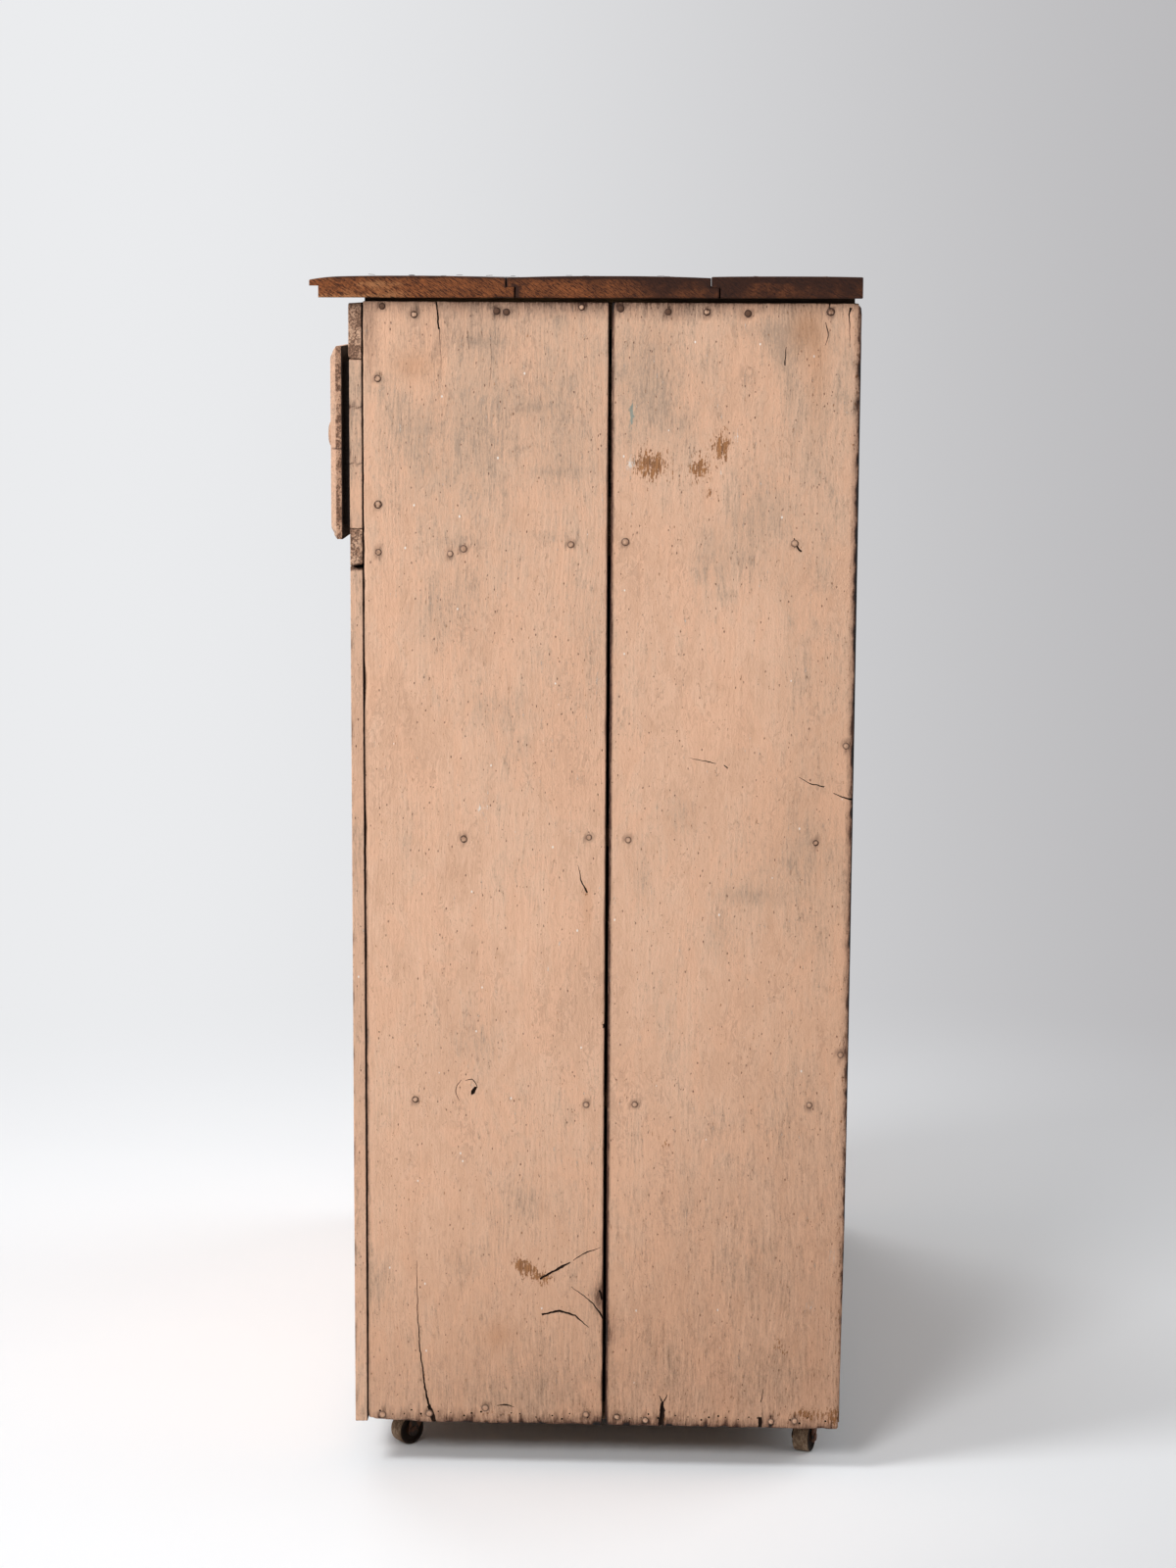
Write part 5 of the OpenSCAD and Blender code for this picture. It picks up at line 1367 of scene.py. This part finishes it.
for place, nails, seed, proud in (("side", SIDE_NAILS, 91, 1.0), ("frame", FRAME_NAILS, 92, 0.8)):
    piece(f"{place}_nail_heads", nail_heads(nails, seed, proud), "case", "rusty_steel", (NAIL,),
          f"{place}_nails")

softened("hinge_fixed_leaves", "iron", "case", "dark_iron", IRON, 0.25, stem="hinge_fixed")
softened("hinge_pins", "iron", "case", "dark_iron", IRON, 0.2)
softened("turn_button_screw", "steel", "case", "rusty_steel", RUST, 0.25)
softened("caster_plates", "iron", "case", "dark_iron", IRON, 0.4)
softened("caster_screws", "steel", "case", "rusty_steel", RUST, 0.2)
for side in ("right", "left"):
    softened(f"door_{side}_leaves", "iron", f"door_{side}", "dark_iron", IRON, 0.25)
softened("turn_button", "wood", "button", "painted_wood", PAINT, 1.4)
for end in ("front", "rear"):
    for side in ("right", "left"):
        caster = f"caster_{end}_{side}"
        softened(f"{caster}_fork", "iron", caster, "dark_iron", IRON, 0.35)
        softened(f"{caster}_wheel", "wood", f"{caster}_roller", "wheel_wood", WHEEL, 0.7)

# ---------------------------------------------------------------- floor, light and camera

CAMERA_PLACE = (3.6314, 0.1296, 1.2058)
# The two greys behind the cupboard, and the slants between which one turns into the other; the
# right grey is painted shade, the backdrop darkening away from the light on the left
LEFT_WALL, RIGHT_WALL = rgb(235, 236, 238), rgb(184, 183, 185)
WALL_TURN = (-0.2, 0.2)
# Distances from the cupboard's middle at which the floor has faded away and is still whole, m
FADE = (1.9, 0.45)
FLOOR_R, FLOOR_Z = 60, -0.0004


def floor_material():
    """A white floor that turns into the backdrop's own light away from the cupboard."""
    s = Shader("floor")
    grain = s.noise(s.place(), 0.5, 2.0)
    colour = s.mix(grain, rgb(234, 236, 239), rgb(239, 241, 243))
    s.put(s.surface.inputs["Base Color"], colour)
    s.surface.inputs["Roughness"].default_value = 0.8
    s.surface.inputs["Specular IOR Level"].default_value = 0.1
    glow = s.node("ShaderNodeEmission")
    x, y, _ = s.split(s.place())
    slant = s.math("DIVIDE", y - CAMERA_PLACE[1], s.math("MAXIMUM", CAMERA_PLACE[0] - x, 0.5))
    # The glow runs from the left grey to the painted shade of the right grey
    s.put(glow.inputs["Color"], s.mix(slant.step(*WALL_TURN), LEFT_WALL, RIGHT_WALL))
    s.blend(s.math("SQRT", x * x + y * y).step(*FADE), glow, s.surface, "Material Output")
    return s.owner


bm = bmesh.new()
bmesh.ops.create_circle(bm, cap_ends=True, segments=96, radius=FLOOR_R)
mesh = bpy.data.meshes.new("floor")
bm.to_mesh(mesh)
bm.free()
mesh.materials.append(floor_material())
floor = linked("floor", mesh)
floor.location.z = FLOOR_Z

sky = Shader("studio", bpy.data.worlds)
bpy.context.scene.world = sky.owner
ambient = sky.tree.nodes["Background"]
ambient.inputs["Color"].default_value = (0.98, 0.99, 1.0, 1.0)
ambient.inputs["Strength"].default_value = 0.27
seen = sky.node("ShaderNodeBackground")
across = sky.split(Field(sky, sky.node("ShaderNodeTexCoord").outputs["Generated"]))[Y]
# The backdrop runs from the left grey to the painted shade of the right grey
sky.put(seen.inputs["Color"], sky.mix(across.step(*WALL_TURN), LEFT_WALL, RIGHT_WALL))
path = sky.node("ShaderNodeLightPath")
camera_ray, glossy_ray = (Field(sky, path.outputs[k]) for k in ("Is Camera Ray", "Is Glossy Ray"))
sky.blend(sky.math("MAXIMUM", camera_ray, glossy_ray), ambient, seen, "World Output")


def lamp(name, place, target, size, watts):
    data = bpy.data.lights.new(name, "AREA")
    data.shape, data.size, data.energy = "DISK", size, watts
    obj = linked(name, data)
    obj.location = place
    aim = Vector(target) - Vector(place)
    obj.rotation_euler = aim.to_track_quat("-Z", "Y").to_euler()
    obj.visible_camera = False


lamp("key", (1.4, -2.33, 3.1), (0.3, 0, 0.6), 1.2, 76)
lamp("fill", (4.8, -2.0, 3.6), (0.4, 0, 0.6), 1.8, 160)
lamp("left", (-3.0, -1.5, 2.8), (0, 0, 0.6), 2.4, 45)
lamp("rear", (-1.2, 3.2, 2.6), (0, 0, 0.6), 3.2, 56)

PITCH, YAW, ROLL = (math.radians(a) for a in (8.871, -2.154, 0.300))
camera = linked("camera", bpy.data.cameras.new("camera"))
camera.data.lens, camera.data.sensor_width = 74.22, 36.0
camera.data.clip_start, camera.data.clip_end = 0.05, 200
look = Vector((-math.cos(YAW) * math.cos(PITCH), math.sin(YAW) * math.cos(PITCH),
               -math.sin(PITCH)))
right = look.cross(Vector((0, 0, 1))).normalized()
up = right.cross(look)
tilted_right = right * math.cos(ROLL) + up * math.sin(ROLL)
tilted_up = up * math.cos(ROLL) - right * math.sin(ROLL)
turn = Matrix((tilted_right, tilted_up, -look)).transposed().to_4x4()
camera.matrix_world = Matrix.Translation(CAMERA_PLACE) @ turn
bpy.context.scene.camera = camera
bpy.context.scene.view_settings.view_transform = "Standard"
